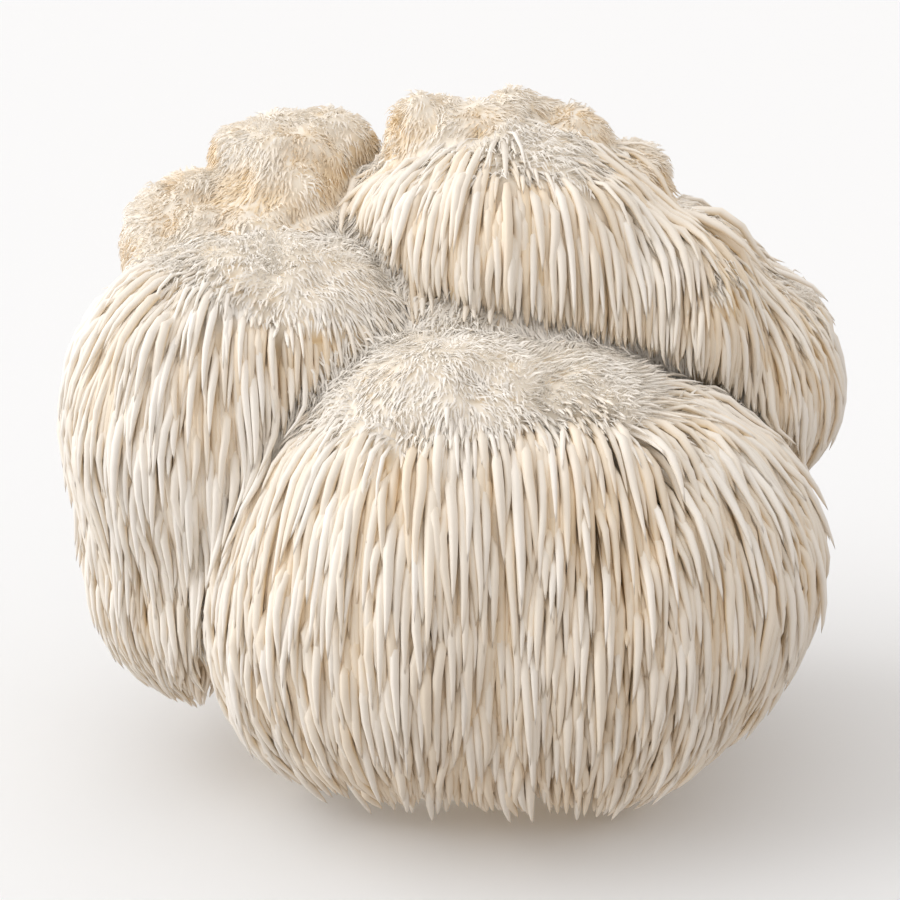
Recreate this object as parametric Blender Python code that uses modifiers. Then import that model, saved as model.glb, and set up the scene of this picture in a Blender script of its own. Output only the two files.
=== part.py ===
"""A lion's mane mushroom: rounded lobes grown together, with hanging locks of spines and a flat cut foot.

The mushroom stands on its cut foot. The origin is the middle of the cut, +Z is up, and its fullest side faces
-Y. The tables and sizes below are in millimetres, and become metres when the meshes are made.
"""
import math
import random

import bmesh
import bpy
import numpy as np
from mathutils import Matrix, Vector

MM = 0.001
OBJECT_NAME = "fruiting_body"

# Driving dimensions, in millimetres.
# Each lobe is a rounded mass: its middle (x, y, z) and half sizes (x, y, z), measured out to its spines.
LOBES = {
    "front_crown": ((-4, -38, 57), (40, 44, 55)),
    "front_saddle": ((25, -28, 80), (24, 38, 24)),
    "front_right": ((49, -28, 56), (35, 42, 38)),
    "front_right_hem": ((35, -33, 37), (31, 33, 35)),
    "front_middle": ((30, -35, 52), (24, 38, 42)),
    "front_left": ((-33, -23, 46), (24, 38, 44)),
    "left_shoulder": ((-52, -10, 82), (36, 44, 44)),
    "left_hem": ((-57, -5, 41), (27, 37, 31)),
    "bridge": ((-27, -8, 100), (26, 36, 25)),
    "top_crown": ((12, 10, 119), (39, 40, 31)),
    "top_right": ((32, 8, 106), (27, 38, 28)),
    "right_tuft": ((55, 3, 103), (18, 34, 25)),
    "right_shoulder": ((71, 15, 85), (22, 38, 30)),
    "back_left_crown": ((-37, 28, 126), (23, 33, 20)),
    "back_left_slope": ((-42, 10, 110), (27, 27, 25)),
    "left_flank": ((-62, 18, 112), (18, 33, 20)),
    "back_crown": ((6, 36, 88), (38, 34, 48)),
    "back_hem": ((12, 34, 45), (42, 34, 41)),
    "back_left": ((-44, 34, 62), (34, 33, 45)),
    "back_right": ((54, 30, 54), (32, 34, 44)),
    "heart": ((0, 0, 72), (60, 46, 52)),
    "upper_heart": ((-12, 16, 96), (50, 30, 40)),
}
# Knobs are the low rounded lumps on top, where the coat is only short fuzz.
KNOBS = {
    "crest_left": ((-6, 10, 145), (10, 12, 10)),
    "crest_left_back": ((-1, 24, 143), (11, 10, 9)),
    "crest_middle": ((7, 6, 145), (10, 11, 9)),
    "crest_middle_back": ((15, 20, 146), (11, 12, 8)),
    "crest_right": ((28, 14, 143), (9, 11, 9)),
    "right_slope": ((42, 12, 134), (9, 12, 9)),
    "back_left_top": ((-45, 27, 138), (12, 14, 8)),
    "back_left_rim": ((-34, 14, 138), (11, 9, 8)),
    "back_middle": ((-25, 26, 140), (10, 13, 8)),
    "flank_top": ((-60, 20, 127), (11, 13, 8)),
}

COAT_SIDE = 5.0  # how far the locks stand out of the flesh at the sides
COAT_TOP = 1.5  # how far the fuzz stands out of the flesh on top
COAT_HEM = 10.0  # how far the locks hang below the flesh

FOOT_RADIUS = 32.0  # the cut face that the mushroom stands on
FOOT_NECK_RADIUS = 36.0
FOOT_HEIGHT = 34.0
CUT_DEPTH = 12.0  # the foot is made this much too long, and cut off flat

LOCK_SPACING = 10.5  # between the roots of neighbouring locks
LOCK_RADIUS = 4.7  # at a lock's thickest
LOCK_TIP_RADIUS = 1.3
LOCK_LONGEST = 44.0
LOCK_SHORTEST = 16.0
LOCK_JITTER = 0.18  # how much the lengths of neighbouring locks differ
LOCK_RISE = 0.6  # how far a lock's middle line lies over the flesh
UPPER_CLING = 0.6  # how closely a lock follows flesh that faces up, rather than hang
LOWER_CLING = 0.3  # the same on flesh that faces down
LOCK_STEPS = 12
LOCK_POINTS = 7
TIP_CLEARANCE = 1.6  # the lowest that a tip may hang above the cut face

CROWN_FACING = 0.80  # flesh that faces up more than this has fuzz and no locks
UNDER_FACING = -0.50  # flesh that faces down more than this is over the foot, with no locks

BUMP_COUNT = 30  # small lumps scattered over the crowns
BUMP_RADIUS = (3.5, 6.0)
BUMP_SPACING = 9.0
BUMP_SINK = 0.35  # the share of a bump's radius that its middle lies under the surface

SKIN_GRAIN = 1.3  # the finest form that survives when everything is fused into one skin
FACE_BUDGET = 9400  # triangles
SHARP_ANGLE = math.radians(60)

FLESH_COLOUR = (0.80, 0.68, 0.50, 1)
FLESH_ROUGHNESS = 0.6

DOWN = np.array([0.0, 0.0, -1.0])
SEED = 7


def lobe_arrays(lobes):
    """Returns the middles and half sizes of the lobes as arrays."""
    middles = np.array([middle for middle, _ in lobes.values()], dtype=float)
    halves = np.array([half for _, half in lobes.values()], dtype=float)
    return middles, halves


def flesh_of(lobes):
    """Returns the lobes drawn in by the thickness of their coat: little on top, most at the hem."""
    lift = (COAT_HEM - COAT_TOP) / 2
    shrink = np.array([COAT_SIDE, COAT_SIDE, (COAT_HEM + COAT_TOP) / 2])
    return {
        name: (np.array(middle) + (0, 0, lift), np.array(half) - shrink)
        for name, (middle, half) in lobes.items()
    }


def distance_to(points, middles, halves):
    """Returns each point's rough distance to the union of the ellipsoids, negative inside."""
    offset = points[:, None, :] - middles[None]
    scaled = np.linalg.norm(offset / halves, axis=2)
    steepness = np.linalg.norm(offset / halves**2, axis=2)
    return (scaled * (scaled - 1) / np.maximum(steepness, 1e-9)).min(axis=1)


def outward(point, middles, halves):
    """Returns the unit direction that leads away from the flesh at one point."""
    nudge = np.eye(3) * 0.5
    direction = distance_to(point + nudge, middles, halves) - distance_to(point - nudge, middles, halves)
    return direction / max(np.linalg.norm(direction), 1e-9)


def spread_over(middle, half, spacing):
    """Yields points spread evenly over one ellipsoid, each with the outward direction there."""
    mean_radius = (half[0] * half[1] * half[2]) ** (1 / 3)
    count = int(4 * math.pi * mean_radius**2 / spacing**2 * 2.5)
    golden_angle = math.pi * (3 - math.sqrt(5))
    for i in range(count):
        height = 1 - 2 * (i + 0.5) / count
        ring = math.sqrt(1 - height * height)
        unit = np.array([ring * math.cos(golden_angle * i), ring * math.sin(golden_angle * i), height])
        facing = unit / half
        yield middle + unit * half, facing / np.linalg.norm(facing)


def open_spots(flesh, facing_from, facing_to, spacing, chance):
    """Returns spots on the open flesh, spacing apart, whose surface faces up between the two limits."""
    middles, halves = lobe_arrays(flesh)
    candidates = []
    for middle, half in flesh.values():
        for point, facing in spread_over(middle, half, spacing):
            on_surface = distance_to(point[None], middles, halves)[0] > -0.8
            if on_surface and facing_from < facing[2] < facing_to:
                candidates.append((point, facing))
    chance.shuffle(candidates)
    spots = []
    for point, facing in candidates:
        if all(np.linalg.norm(point - other) > spacing for other, _ in spots):
            spots.append((point, facing))
    return spots


def lock_length(facing_up, chance):
    """Returns a lock's length: short near a crown and under a hem, longest on upright flesh."""
    upright = max(1 - abs(facing_up - 0.1) / 0.9, 0)
    length = LOCK_SHORTEST + (LOCK_LONGEST - LOCK_SHORTEST) * upright**0.7
    return length * chance.uniform(1 - LOCK_JITTER, 1 + LOCK_JITTER)


def lock_path(root, facing, length, middles, halves):
    """Returns the points of one lock, which rises from the flesh, turns down and lies along it."""
    step = length / LOCK_STEPS
    point = root - facing * LOCK_RADIUS * 0.8
    heading = facing * 0.5 + DOWN
    points = [point]
    for _ in range(LOCK_STEPS):
        away = outward(point, middles, halves)
        along = DOWN - away * (DOWN @ away)
        along = along / max(np.linalg.norm(along), 0.2)
        too_deep = LOCK_RISE - distance_to(point[None], middles, halves)[0]
        cling = UPPER_CLING if away[2] > 0 else LOWER_CLING
        wish = along * cling + DOWN * (1 - cling) + away * np.clip(too_deep, -0.4, 1.0) * 0.5
        heading = heading * 0.4 + wish / np.linalg.norm(wish) * 0.6
        heading = heading / np.linalg.norm(heading)
        point = point + heading * step
        if point[2] < TIP_CLEARANCE:
            break
        points.append(point)
    return points


def link_mesh(name, mesh, collection):
    """Links a new object for the mesh into the collection and returns it."""
    thing = bpy.data.objects.new(name, mesh)
    collection.objects.link(thing)
    return thing


def add_rounded_mass(name, middle, half, collection):
    """Adds one lobe, knob or bump: a sphere stretched to its half sizes."""
    place = Matrix.Translation(Vector(middle) * MM) @ Matrix.Diagonal((*(Vector(half) * MM), 1))
    bm = bmesh.new()
    bmesh.ops.create_uvsphere(bm, u_segments=32, v_segments=20, radius=1, matrix=place)
    mesh = bpy.data.meshes.new(name)
    bm.to_mesh(mesh)
    bm.free()
    return link_mesh(name, mesh, collection)


def add_foot(collection):
    """Adds the short stalk that carried the mushroom, longer than it will be once it is cut."""
    depth = FOOT_HEIGHT + CUT_DEPTH
    place = Matrix.Translation((0, 0, (FOOT_HEIGHT - CUT_DEPTH) / 2 * MM))
    bm = bmesh.new()
    bmesh.ops.create_cone(
        bm, cap_ends=True, segments=48, radius1=FOOT_RADIUS * MM, radius2=FOOT_NECK_RADIUS * MM,
        depth=depth * MM, matrix=place,
    )
    mesh = bpy.data.meshes.new("foot")
    bm.to_mesh(mesh)
    bm.free()
    return link_mesh("foot", mesh, collection)


def lock_thickness(share):
    """Returns a lock's radius at a share of its length: full in the upper half, then fine to the tip."""
    return LOCK_TIP_RADIUS + (LOCK_RADIUS - LOCK_TIP_RADIUS) * (1 - share**2.2)


def add_lock(name, path, collection):
    """Adds one lock: a curve along the path with a round section that tapers, made a mesh."""
    curve = bpy.data.curves.new(name, "CURVE")
    curve.dimensions = "3D"
    curve.bevel_depth = MM
    curve.bevel_resolution = 2
    curve.use_fill_caps = True
    spline = curve.splines.new("POLY")
    spline.points.add(LOCK_POINTS - 1)
    for i, target in enumerate(spline.points):
        share = i / (LOCK_POINTS - 1)
        place = Vector(path[round(share * (len(path) - 1))]) * MM
        target.co = (*place, 1)
        target.radius = lock_thickness(share)
    guide = link_mesh(name + "_guide", curve, collection)
    bpy.context.view_layer.update()
    mesh = bpy.data.meshes.new_from_object(guide.evaluated_get(bpy.context.evaluated_depsgraph_get()))
    bm = bmesh.new()
    bm.from_mesh(mesh)
    bmesh.ops.remove_doubles(bm, verts=bm.verts, dist=0.00001)
    bm.to_mesh(mesh)
    bm.free()
    lock = link_mesh(name, mesh, collection)
    lock.matrix_world = guide.matrix_world.copy()
    bpy.data.objects.remove(guide)
    return lock


def add_all_locks(flesh, collection, chance):
    """Grows the locks of spines over the sides of the flesh."""
    middles, halves = lobe_arrays(flesh)
    spots = open_spots(flesh, UNDER_FACING, CROWN_FACING, LOCK_SPACING, chance)
    for number, (root, facing) in enumerate(spots):
        path = lock_path(root, facing, lock_length(facing[2], chance), middles, halves)
        if len(path) >= LOCK_POINTS:
            add_lock(f"lock_{number}", path, collection)


def add_all_bumps(flesh, collection, chance):
    """Scatters small lumps over the parts of the flesh that face up."""
    spots = open_spots(flesh, CROWN_FACING, 1, BUMP_SPACING, chance)
    for number, (point, facing) in enumerate(spots[:BUMP_COUNT]):
        radius = chance.uniform(*BUMP_RADIUS)
        half = (radius, radius, radius * 0.8)
        add_rounded_mass(f"bump_{number}", point - facing * radius * BUMP_SINK, half, collection)


def join_meshes(name, pieces, target):
    """Puts the meshes of all the pieces into one new object, and removes the pieces."""
    bm = bmesh.new()
    for piece in pieces:
        bm.from_mesh(piece.data)
        bpy.data.objects.remove(piece)
    mesh = bpy.data.meshes.new(name)
    bm.to_mesh(mesh)
    bm.free()
    return link_mesh(name, mesh, target)


def take_modified_mesh(body):
    """Gives the body the mesh that its modifiers make, and clears them."""
    bpy.context.view_layer.update()
    seen = body.evaluated_get(bpy.context.evaluated_depsgraph_get())
    mesh = bpy.data.meshes.new_from_object(seen)
    body.modifiers.clear()
    body.data = mesh


def drop_pockets(mesh):
    """Removes the sealed pockets deep between the lobes: every shell of the mesh but the largest."""
    bm = bmesh.new()
    bm.from_mesh(mesh)
    unseen = set(bm.verts)
    shells = []
    for start in list(bm.verts):
        if start not in unseen:
            continue
        unseen.remove(start)
        shell = [start]
        for vertex in shell:
            neighbours = [edge.other_vert(vertex) for edge in vertex.link_edges]
            fresh = [other for other in neighbours if other in unseen]
            unseen.difference_update(fresh)
            shell += fresh
        shells.append(shell)
    shells.sort(key=len)
    for shell in shells[:-1]:
        bmesh.ops.delete(bm, geom=shell, context="VERTS")
    bm.to_mesh(mesh)
    bm.free()


def fuse(body):
    """Fuses the overlapping masses into one skin, then thins it to the face budget."""
    skin = body.modifiers.new("one_skin", "REMESH")
    skin.mode = "VOXEL"
    skin.voxel_size = SKIN_GRAIN * MM
    take_modified_mesh(body)
    drop_pockets(body.data)
    thin = body.modifiers.new("thin", "DECIMATE")
    thin.ratio = FACE_BUDGET / (2 * len(body.data.polygons))
    take_modified_mesh(body)


def add_cut(body, cutters):
    """Cuts the foot off flat at the level where it left the wood."""
    size = max(FOOT_NECK_RADIUS, FOOT_RADIUS) * 8
    bm = bmesh.new()
    place = Matrix.Translation((0, 0, -size / 2 * MM)) @ Matrix.Scale(size * MM, 4)
    bmesh.ops.create_cube(bm, size=1, matrix=place)
    mesh = bpy.data.meshes.new("cut_plane")
    bm.to_mesh(mesh)
    bm.free()
    cutter = link_mesh("cut_plane", mesh, cutters)
    cutter.hide_render = True
    cutter.display_type = "WIRE"
    cut = body.modifiers.new("cut_off_flat", "BOOLEAN")
    cut.operation = "DIFFERENCE"
    cut.object = cutter
    cut.solver = "EXACT"


def flesh_material():
    """Returns the material of the whole mushroom: cream and waxy."""
    material = bpy.data.materials.new("mushroom_flesh")
    material.use_nodes = True
    shader = material.node_tree.nodes["Principled BSDF"]
    shader.inputs["Base Color"].default_value = FLESH_COLOUR
    shader.inputs["Roughness"].default_value = FLESH_ROUGHNESS
    shader.inputs["Metallic"].default_value = 0.0
    material.diffuse_color = FLESH_COLOUR
    return material


def new_collection(name):
    """Returns a new collection in the scene."""
    collection = bpy.data.collections.new(name)
    bpy.context.scene.collection.children.link(collection)
    return collection


def main():
    """Builds the mushroom."""
    for thing in list(bpy.data.objects):
        bpy.data.objects.remove(thing)
    chance = random.Random(SEED)
    parts = new_collection("lions_mane_mushroom")
    cutters = new_collection("cutters")
    growth = new_collection("growth")

    flesh = flesh_of(LOBES)
    for name, (middle, half) in (flesh | KNOBS).items():
        add_rounded_mass(name, middle, half, growth)
    add_foot(growth)
    add_all_locks(flesh, growth, chance)
    add_all_bumps(flesh, growth, chance)

    body = join_meshes(OBJECT_NAME, list(growth.objects), parts)
    bpy.data.collections.remove(growth)
    fuse(body)
    body.data.materials.append(flesh_material())
    body.data.shade_smooth()
    body.data.set_sharp_from_angle(angle=SHARP_ANGLE)
    add_cut(body, cutters)


main()
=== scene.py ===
"""The looks of a lion's mane mushroom: lumpy flesh under a coat of hanging spines and short fuzz.

The flesh is a smooth blend of rounded lobes. Spines grow out of it, bend down under their weight and lie on
one another like thatch, and where the flesh faces up the coat is only short fuzz with pits between.
"""
import logging
import math
from collections.abc import Iterator
from dataclasses import dataclass, field
from enum import Enum

import bmesh
import bpy
import numpy as np
from mathutils import Matrix, Vector


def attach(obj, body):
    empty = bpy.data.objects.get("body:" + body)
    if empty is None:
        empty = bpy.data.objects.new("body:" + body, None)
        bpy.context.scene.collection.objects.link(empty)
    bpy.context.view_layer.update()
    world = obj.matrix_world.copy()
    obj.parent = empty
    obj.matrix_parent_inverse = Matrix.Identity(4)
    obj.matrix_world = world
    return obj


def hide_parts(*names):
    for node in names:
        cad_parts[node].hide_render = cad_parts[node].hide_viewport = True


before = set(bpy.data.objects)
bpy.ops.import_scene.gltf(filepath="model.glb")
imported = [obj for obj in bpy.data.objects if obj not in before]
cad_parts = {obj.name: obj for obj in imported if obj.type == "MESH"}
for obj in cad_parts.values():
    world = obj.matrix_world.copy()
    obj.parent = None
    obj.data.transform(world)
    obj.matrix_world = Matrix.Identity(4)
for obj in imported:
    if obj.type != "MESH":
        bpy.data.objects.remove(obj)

log = logging.getLogger("lions_mane_mushroom")

MM = 0.001
NODE = "fruiting_body"
BODY = "root"
DOWN = np.array([0.0, 0.0, -1.0])
Vec3 = tuple[float, float, float]


class Growth(Enum):
    """The three sorts of spine that cover the mushroom, from longest to shortest."""

    SPINE = "spine"
    COMB = "comb"
    FUZZ = "fuzz"


class Mass(Enum):
    """The masses that the lobes form. Each value is how softly its lobes join, in millimetres."""

    FRONT = 24.0
    TOP = 14.0
    LEFT = 22.0
    BACK_LEFT = 7.5
    BACK = 12.0
    CREST = 4.0


@dataclass(frozen=True)
class SpineStyle:
    """How the spines of one lobe grow.

    Attributes:
        length: Length of a spine on upright flesh, in millimetres.
        radius: Radius of a full-length spine, in millimetres.
        tan: How tan the lobe's coat is, from 0 for white to 1 for tan.
        tuft: How strongly neighbouring tips draw together, from 0 to 1.
        crown: How far the flesh must face up, from 0 to 1, before spines give way to fuzz.
    """

    length: float
    radius: float
    tan: float
    tuft: float = 0.2
    crown: float = 0.82


CURTAIN = SpineStyle(30, 1.14, 0.12, 0.05, 0.70)
UPPER_CURTAIN = SpineStyle(35, 1.05, 0.12, 0.05, 0.82)
SIDE_CURTAIN = SpineStyle(25, 1.02, -0.02, 0.18, 0.91)
TUFTED = SpineStyle(20, 0.85, 0.00, 0.40, 0.80)
RIGHT_CURTAIN = SpineStyle(25, 1.02, 0.06, 0.18, 0.88)
RIGHT_TUFT = SpineStyle(24, 0.92, 0.00, 0.28, 0.66)
CREST = SpineStyle(8, 0.50, 0.32, 0.2, -0.5)
SADDLE = SpineStyle(22, 0.80, 0.16, 0.1, 0.62)


@dataclass(frozen=True)
class Lobe:
    """One rounded mass of the mushroom.

    Attributes:
        middle: Its middle, in millimetres.
        half: Its half sizes, measured out to the tips of its coat, in millimetres.
        style: How its spines grow.
        mass: The mass that it belongs to.
    """

    middle: Vec3
    half: Vec3
    style: SpineStyle
    mass: Mass


LOBES: dict[str, Lobe] = {
    "front_crown": Lobe((-4, -38, 57), (40, 44, 55), CURTAIN, Mass.FRONT),
    "front_saddle": Lobe((25, -28, 80), (24, 38, 24), RIGHT_CURTAIN, Mass.FRONT),
    "front_right": Lobe((49, -28, 56), (35, 42, 38), RIGHT_CURTAIN, Mass.FRONT),
    "front_right_hem": Lobe((35, -33, 37), (31, 33, 35), RIGHT_CURTAIN, Mass.FRONT),
    "front_middle": Lobe((30, -35, 52), (24, 38, 42), CURTAIN, Mass.FRONT),
    "front_left": Lobe((-33, -23, 46), (24, 38, 44), SIDE_CURTAIN, Mass.FRONT),
    "left_shoulder": Lobe((-52, -10, 82), (36, 44, 44), SIDE_CURTAIN, Mass.LEFT),
    "left_hem": Lobe((-57, -5, 41), (27, 37, 31), TUFTED, Mass.LEFT),
    "bridge": Lobe((-27, -8, 100), (26, 36, 25), SADDLE, Mass.LEFT),
    "top_crown": Lobe((12, 10, 119), (39, 40, 31), UPPER_CURTAIN, Mass.TOP),
    "top_right": Lobe((32, 8, 106), (27, 38, 28), UPPER_CURTAIN, Mass.TOP),
    "right_tuft": Lobe((55, 3, 103), (18, 34, 25), RIGHT_TUFT, Mass.TOP),
    "right_shoulder": Lobe((71, 15, 85), (22, 38, 30), RIGHT_TUFT, Mass.TOP),
    "back_left_crown": Lobe((-37, 28, 126), (23, 33, 20), CREST, Mass.BACK_LEFT),
    "back_left_slope": Lobe((-42, 10, 110), (27, 27, 25), CREST, Mass.BACK_LEFT),
    "left_flank": Lobe((-62, 18, 112), (18, 33, 20), CREST, Mass.BACK_LEFT),
    "back_crown": Lobe((6, 36, 88), (38, 34, 48), UPPER_CURTAIN, Mass.BACK),
    "back_hem": Lobe((12, 34, 45), (42, 34, 41), SIDE_CURTAIN, Mass.BACK),
    "back_left": Lobe((-44, 34, 62), (34, 33, 45), SIDE_CURTAIN, Mass.BACK),
    "back_right": Lobe((54, 30, 54), (32, 34, 44), SIDE_CURTAIN, Mass.BACK),
    "crest_left": Lobe((-6, 10, 145), (10, 12, 10), CREST, Mass.CREST),
    "crest_left_back": Lobe((-1, 24, 143), (11, 10, 9), CREST, Mass.CREST),
    "crest_middle": Lobe((7, 6, 145), (10, 11, 9), CREST, Mass.CREST),
    "crest_middle_back": Lobe((15, 20, 146), (11, 12, 8), CREST, Mass.CREST),
    "crest_right": Lobe((28, 14, 143), (9, 11, 9), CREST, Mass.CREST),
    "right_slope": Lobe((42, 12, 134), (9, 12, 9), CREST, Mass.CREST),
    "back_left_top": Lobe((-45, 27, 138), (12, 14, 8), CREST, Mass.CREST),
    "back_left_rim": Lobe((-34, 14, 138), (11, 9, 8), CREST, Mass.CREST),
    "back_middle": Lobe((-25, 26, 140), (10, 13, 8), CREST, Mass.CREST),
    "flank_top": Lobe((-60, 20, 127), (11, 13, 8), CREST, Mass.CREST),
    "heart": Lobe((0, 0, 72), (60, 46, 52), SIDE_CURTAIN, Mass.BACK),
    "upper_heart": Lobe((-12, 16, 96), (50, 30, 40), SIDE_CURTAIN, Mass.BACK),
}


def smoothstep(low: float, high: float, value: np.ndarray) -> np.ndarray:
    """Returns a smooth 0 to 1 ramp of the value between low and high."""
    share = np.clip((value - low) / (high - low), 0, 1)
    return share * share * (3 - 2 * share)


def unit(vectors: np.ndarray) -> np.ndarray:
    """Returns the vectors at length one."""
    return vectors / np.maximum(np.linalg.norm(vectors, axis=-1, keepdims=True), 1e-9)


def flattened(vectors: np.ndarray, facing: np.ndarray) -> np.ndarray:
    """Returns the part of the vectors that lies along the surface with the given facing."""
    return vectors - facing * (vectors * facing).sum(axis=1, keepdims=True)


class Mottle:
    """Smooth seeded noise in space, for everything in the growth that isn't regular."""

    def __init__(self, seed: int, cells: int = 32) -> None:
        """Fills a repeating lattice with random values.

        Args:
            seed: Seed of the lattice.
            cells: Cells along each side before it repeats.
        """
        self.cells = cells
        self.lattice = np.random.default_rng(seed).uniform(-1, 1, (cells, cells, cells))

    def at(self, points: np.ndarray, size: float) -> np.ndarray:
        """Returns noise from -1 to 1.

        Args:
            points: Places, in millimetres, as rows of three.
            size: Size of one blotch, in millimetres.

        Returns:
            One value a point.
        """
        scaled = points / size + 1000.0
        corner = np.floor(scaled).astype(int)
        share = scaled - corner
        share = share * share * (3 - 2 * share)
        total = np.zeros(len(points))
        for dx in (0, 1):
            for dy in (0, 1):
                for dz in (0, 1):
                    weight = (
                        np.abs(1 - dx - share[:, 0])
                        * np.abs(1 - dy - share[:, 1])
                        * np.abs(1 - dz - share[:, 2])
                    )
                    index = (corner + (dx, dy, dz)) % self.cells
                    total += weight * self.lattice[index[:, 0], index[:, 1], index[:, 2]]
        return total


@dataclass
class Form:
    """The shape of the flesh, as a distance from any point to its surface.

    Attributes:
        side: Thickness of the coat at the sides, in millimetres.
        top: Thickness of the coat on top.
        hem: How far the coat hangs below the flesh.
        crease: Width of the join where two masses meet.
        crest_join: Width of the join where a crest rises from its mass.
        foot_radius: Radius of the cut face.
        foot_slope: How much wider the foot gets for each millimetre up.
        foot_height: Height of the foot.
        lump_size: Size of one lump on flesh that faces up.
        lump_height: Height of the lumps on a crown.
        crest_lump_height: Height of the lumps on a crest.
        pit_size: Size of the small pits between the fuzz.
        lump_facing: How far the flesh must face up, from 0 to 1, for lumps to start and to be full.
        pit_noise: The noise, from -1 to 1, at which a pit starts and at which it is bare.
        knob_half: Half height below which a lobe is a knob, which has fuzz all round and no hem.
        seed: Seed of the lumps and pits.
    """

    side: float = 5.0
    top: float = 2.2
    hem: float = 13.0
    crease: float = 3.5
    crest_join: float = 5.5
    foot_radius: float = 32.0
    foot_slope: float = 0.1
    foot_height: float = 34.0
    lump_size: float = 7.0
    lump_height: float = 1.3
    crest_lump_height: float = 2.6
    pit_size: float = 1.3
    lump_facing: tuple[float, float] = (0.2, 0.8)
    pit_noise: tuple[float, float] = (0.4, 0.7)
    knob_half: float = 11.0
    seed: int = 5

    def __post_init__(self) -> None:
        """Works out the arrays of the lobes."""
        shrink = np.array([self.side, self.side, (self.hem + self.top) / 2])
        lift = np.array([0, 0, (self.hem - self.top) / 2])
        self.outer_middles = np.array([lobe.middle for lobe in LOBES.values()], dtype=float)
        self.outer_halves = np.array([lobe.half for lobe in LOBES.values()], dtype=float)
        self.crest = np.array([lobe.style is CREST for lobe in LOBES.values()])
        order = list(Mass)
        self.mass_of = np.array([order.index(lobe.mass) for lobe in LOBES.values()])
        self.members = {mass: np.flatnonzero(self.mass_of == order.index(mass)) for mass in Mass}
        # The crests and the back get in no other mass's way, and their own spines end early near the others.
        self.inner = [order.index(Mass.BACK), order.index(Mass.CREST)]
        knob = self.outer_halves[:, 2] < self.knob_half
        self.middles = self.outer_middles + lift * np.where(knob, 0.0, 1.0)[:, None]
        self.halves = self.outer_halves - np.where(knob[:, None], self.top, shrink)
        self.mottle = Mottle(self.seed)

    def _to_lobes(self, points: np.ndarray, middles: np.ndarray, halves: np.ndarray) -> np.ndarray:
        """Returns rough distances from each point to each ellipsoid.

        Args:
            points: Places, in millimetres, as rows of three.
            middles: The middle of each ellipsoid.
            halves: Its half sizes.

        Returns:
            The distances, as rows of one a lobe.
        """
        offset = points[:, None, :] - middles[None]
        scaled = np.linalg.norm(offset / halves, axis=2)
        steepness = np.linalg.norm(offset / halves**2, axis=2)
        return scaled * (scaled - 1) / np.maximum(steepness, 1e-9)

    def _joined(self, columns: list[np.ndarray], width: float) -> np.ndarray:
        """Returns the smooth union of several distances.

        Args:
            columns: The distances from every place to each form.
            width: Width of the join, in millimetres.

        Returns:
            The distance from every place to the joined form.
        """
        total = columns[0]
        for other in columns[1:]:
            near = np.maximum(width - np.abs(total - other), 0) / width
            total = np.minimum(total, other) - near * near * width / 4
        return total

    def _to_masses(self, distances: np.ndarray) -> list[np.ndarray]:
        """Returns the distance to each mass, in which the lobes join softly.

        Args:
            distances: The distances to the lobes, as rows of one a lobe.

        Returns:
            The distances from every place to each mass.
        """
        return [
            self._joined([distances[:, member] for member in members], mass.value)
            for mass, members in self.members.items()
        ]

    def distance(self, points: np.ndarray) -> np.ndarray:
        """Returns the distance from each point to the smooth flesh, negative inside.

        Args:
            points: Places, in millimetres, as rows of three.

        Returns:
            The distances, in millimetres.
        """
        foot = (
            np.linalg.norm(points[:, :2], axis=1) - self.foot_radius - self.foot_slope * points[:, 2]
        )
        foot = np.maximum(foot, points[:, 2] - self.foot_height)
        masses = self._to_masses(self._to_lobes(points, self.middles, self.halves))
        body = self._joined([*masses[:-1], foot], self.crease)
        return self._joined([body, masses[-1]], self.crest_join)

    def on_foot(self, points: np.ndarray, margin: float = 2.0) -> np.ndarray:
        """Returns which places lie on the foot or within the margin of it."""
        far = np.linalg.norm(points[:, :2], axis=1) - self.foot_slope * points[:, 2]
        return (far < self.foot_radius + margin) & (points[:, 2] < self.foot_height)

    def to_other_masses(self, points: np.ndarray, own: np.ndarray) -> np.ndarray:
        """Returns how far each point is from the nearest mass but its own, with crests and back left out.

        Args:
            points: Places, in millimetres.
            own: The number of each place's own mass.

        Returns:
            The distances.
        """
        masses = np.column_stack(self._to_masses(self._to_lobes(points, self.middles, self.halves)))
        masses[:, self.inner] = np.inf
        masses[np.arange(len(points)), own] = np.inf
        return masses.min(axis=1)

    def reach(self, points: np.ndarray) -> np.ndarray:
        """Returns the distance from each point to the outer form that the spine tips keep to.

        Args:
            points: Places, in millimetres, as rows of three.

        Returns:
            The distances, in millimetres.
        """
        masses = self._to_masses(self._to_lobes(points, self.outer_middles, self.outer_halves))
        body = self._joined(masses[:-1], self.crease)
        return self._joined([body, masses[-1]], self.crest_join)

    def outward(self, points: np.ndarray, width: float = 0.6) -> np.ndarray:
        """Returns the unit directions that lead away from the flesh.

        Args:
            points: Places, in millimetres, as rows of three.
            width: Half the span over which the slope is measured, in millimetres.

        Returns:
            The directions, as rows of three.
        """
        gradient = np.empty_like(points)
        for axis in range(3):
            nudge = np.zeros(3)
            nudge[axis] = width
            gradient[:, axis] = self.distance(points + nudge) - self.distance(points - nudge)
        return unit(gradient)

    def lump(self, points: np.ndarray, facing_up: np.ndarray) -> np.ndarray:
        """Returns how far the flesh swells at each point: only on top, and most on the crests.

        Args:
            points: Places, in millimetres, as rows of three.
            facing_up: How far the flesh faces up there.

        Returns:
            The swelling, in millimetres.
        """
        crest = self.crest[self.nearest_lobe(points)]
        height = np.where(crest, self.crest_lump_height, self.lump_height)
        rough = self.mottle.at(points, self.lump_size) + 0.5 * self.mottle.at(points, self.lump_size / 2)
        return height * rough * smoothstep(*self.lump_facing, facing_up)

    def pits(self, points: np.ndarray) -> np.ndarray:
        """Returns how much each place lies in one of the small bare pits between the fuzz, from 0 to 1."""
        return smoothstep(*self.pit_noise, self.mottle.at(points, self.pit_size))

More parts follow.
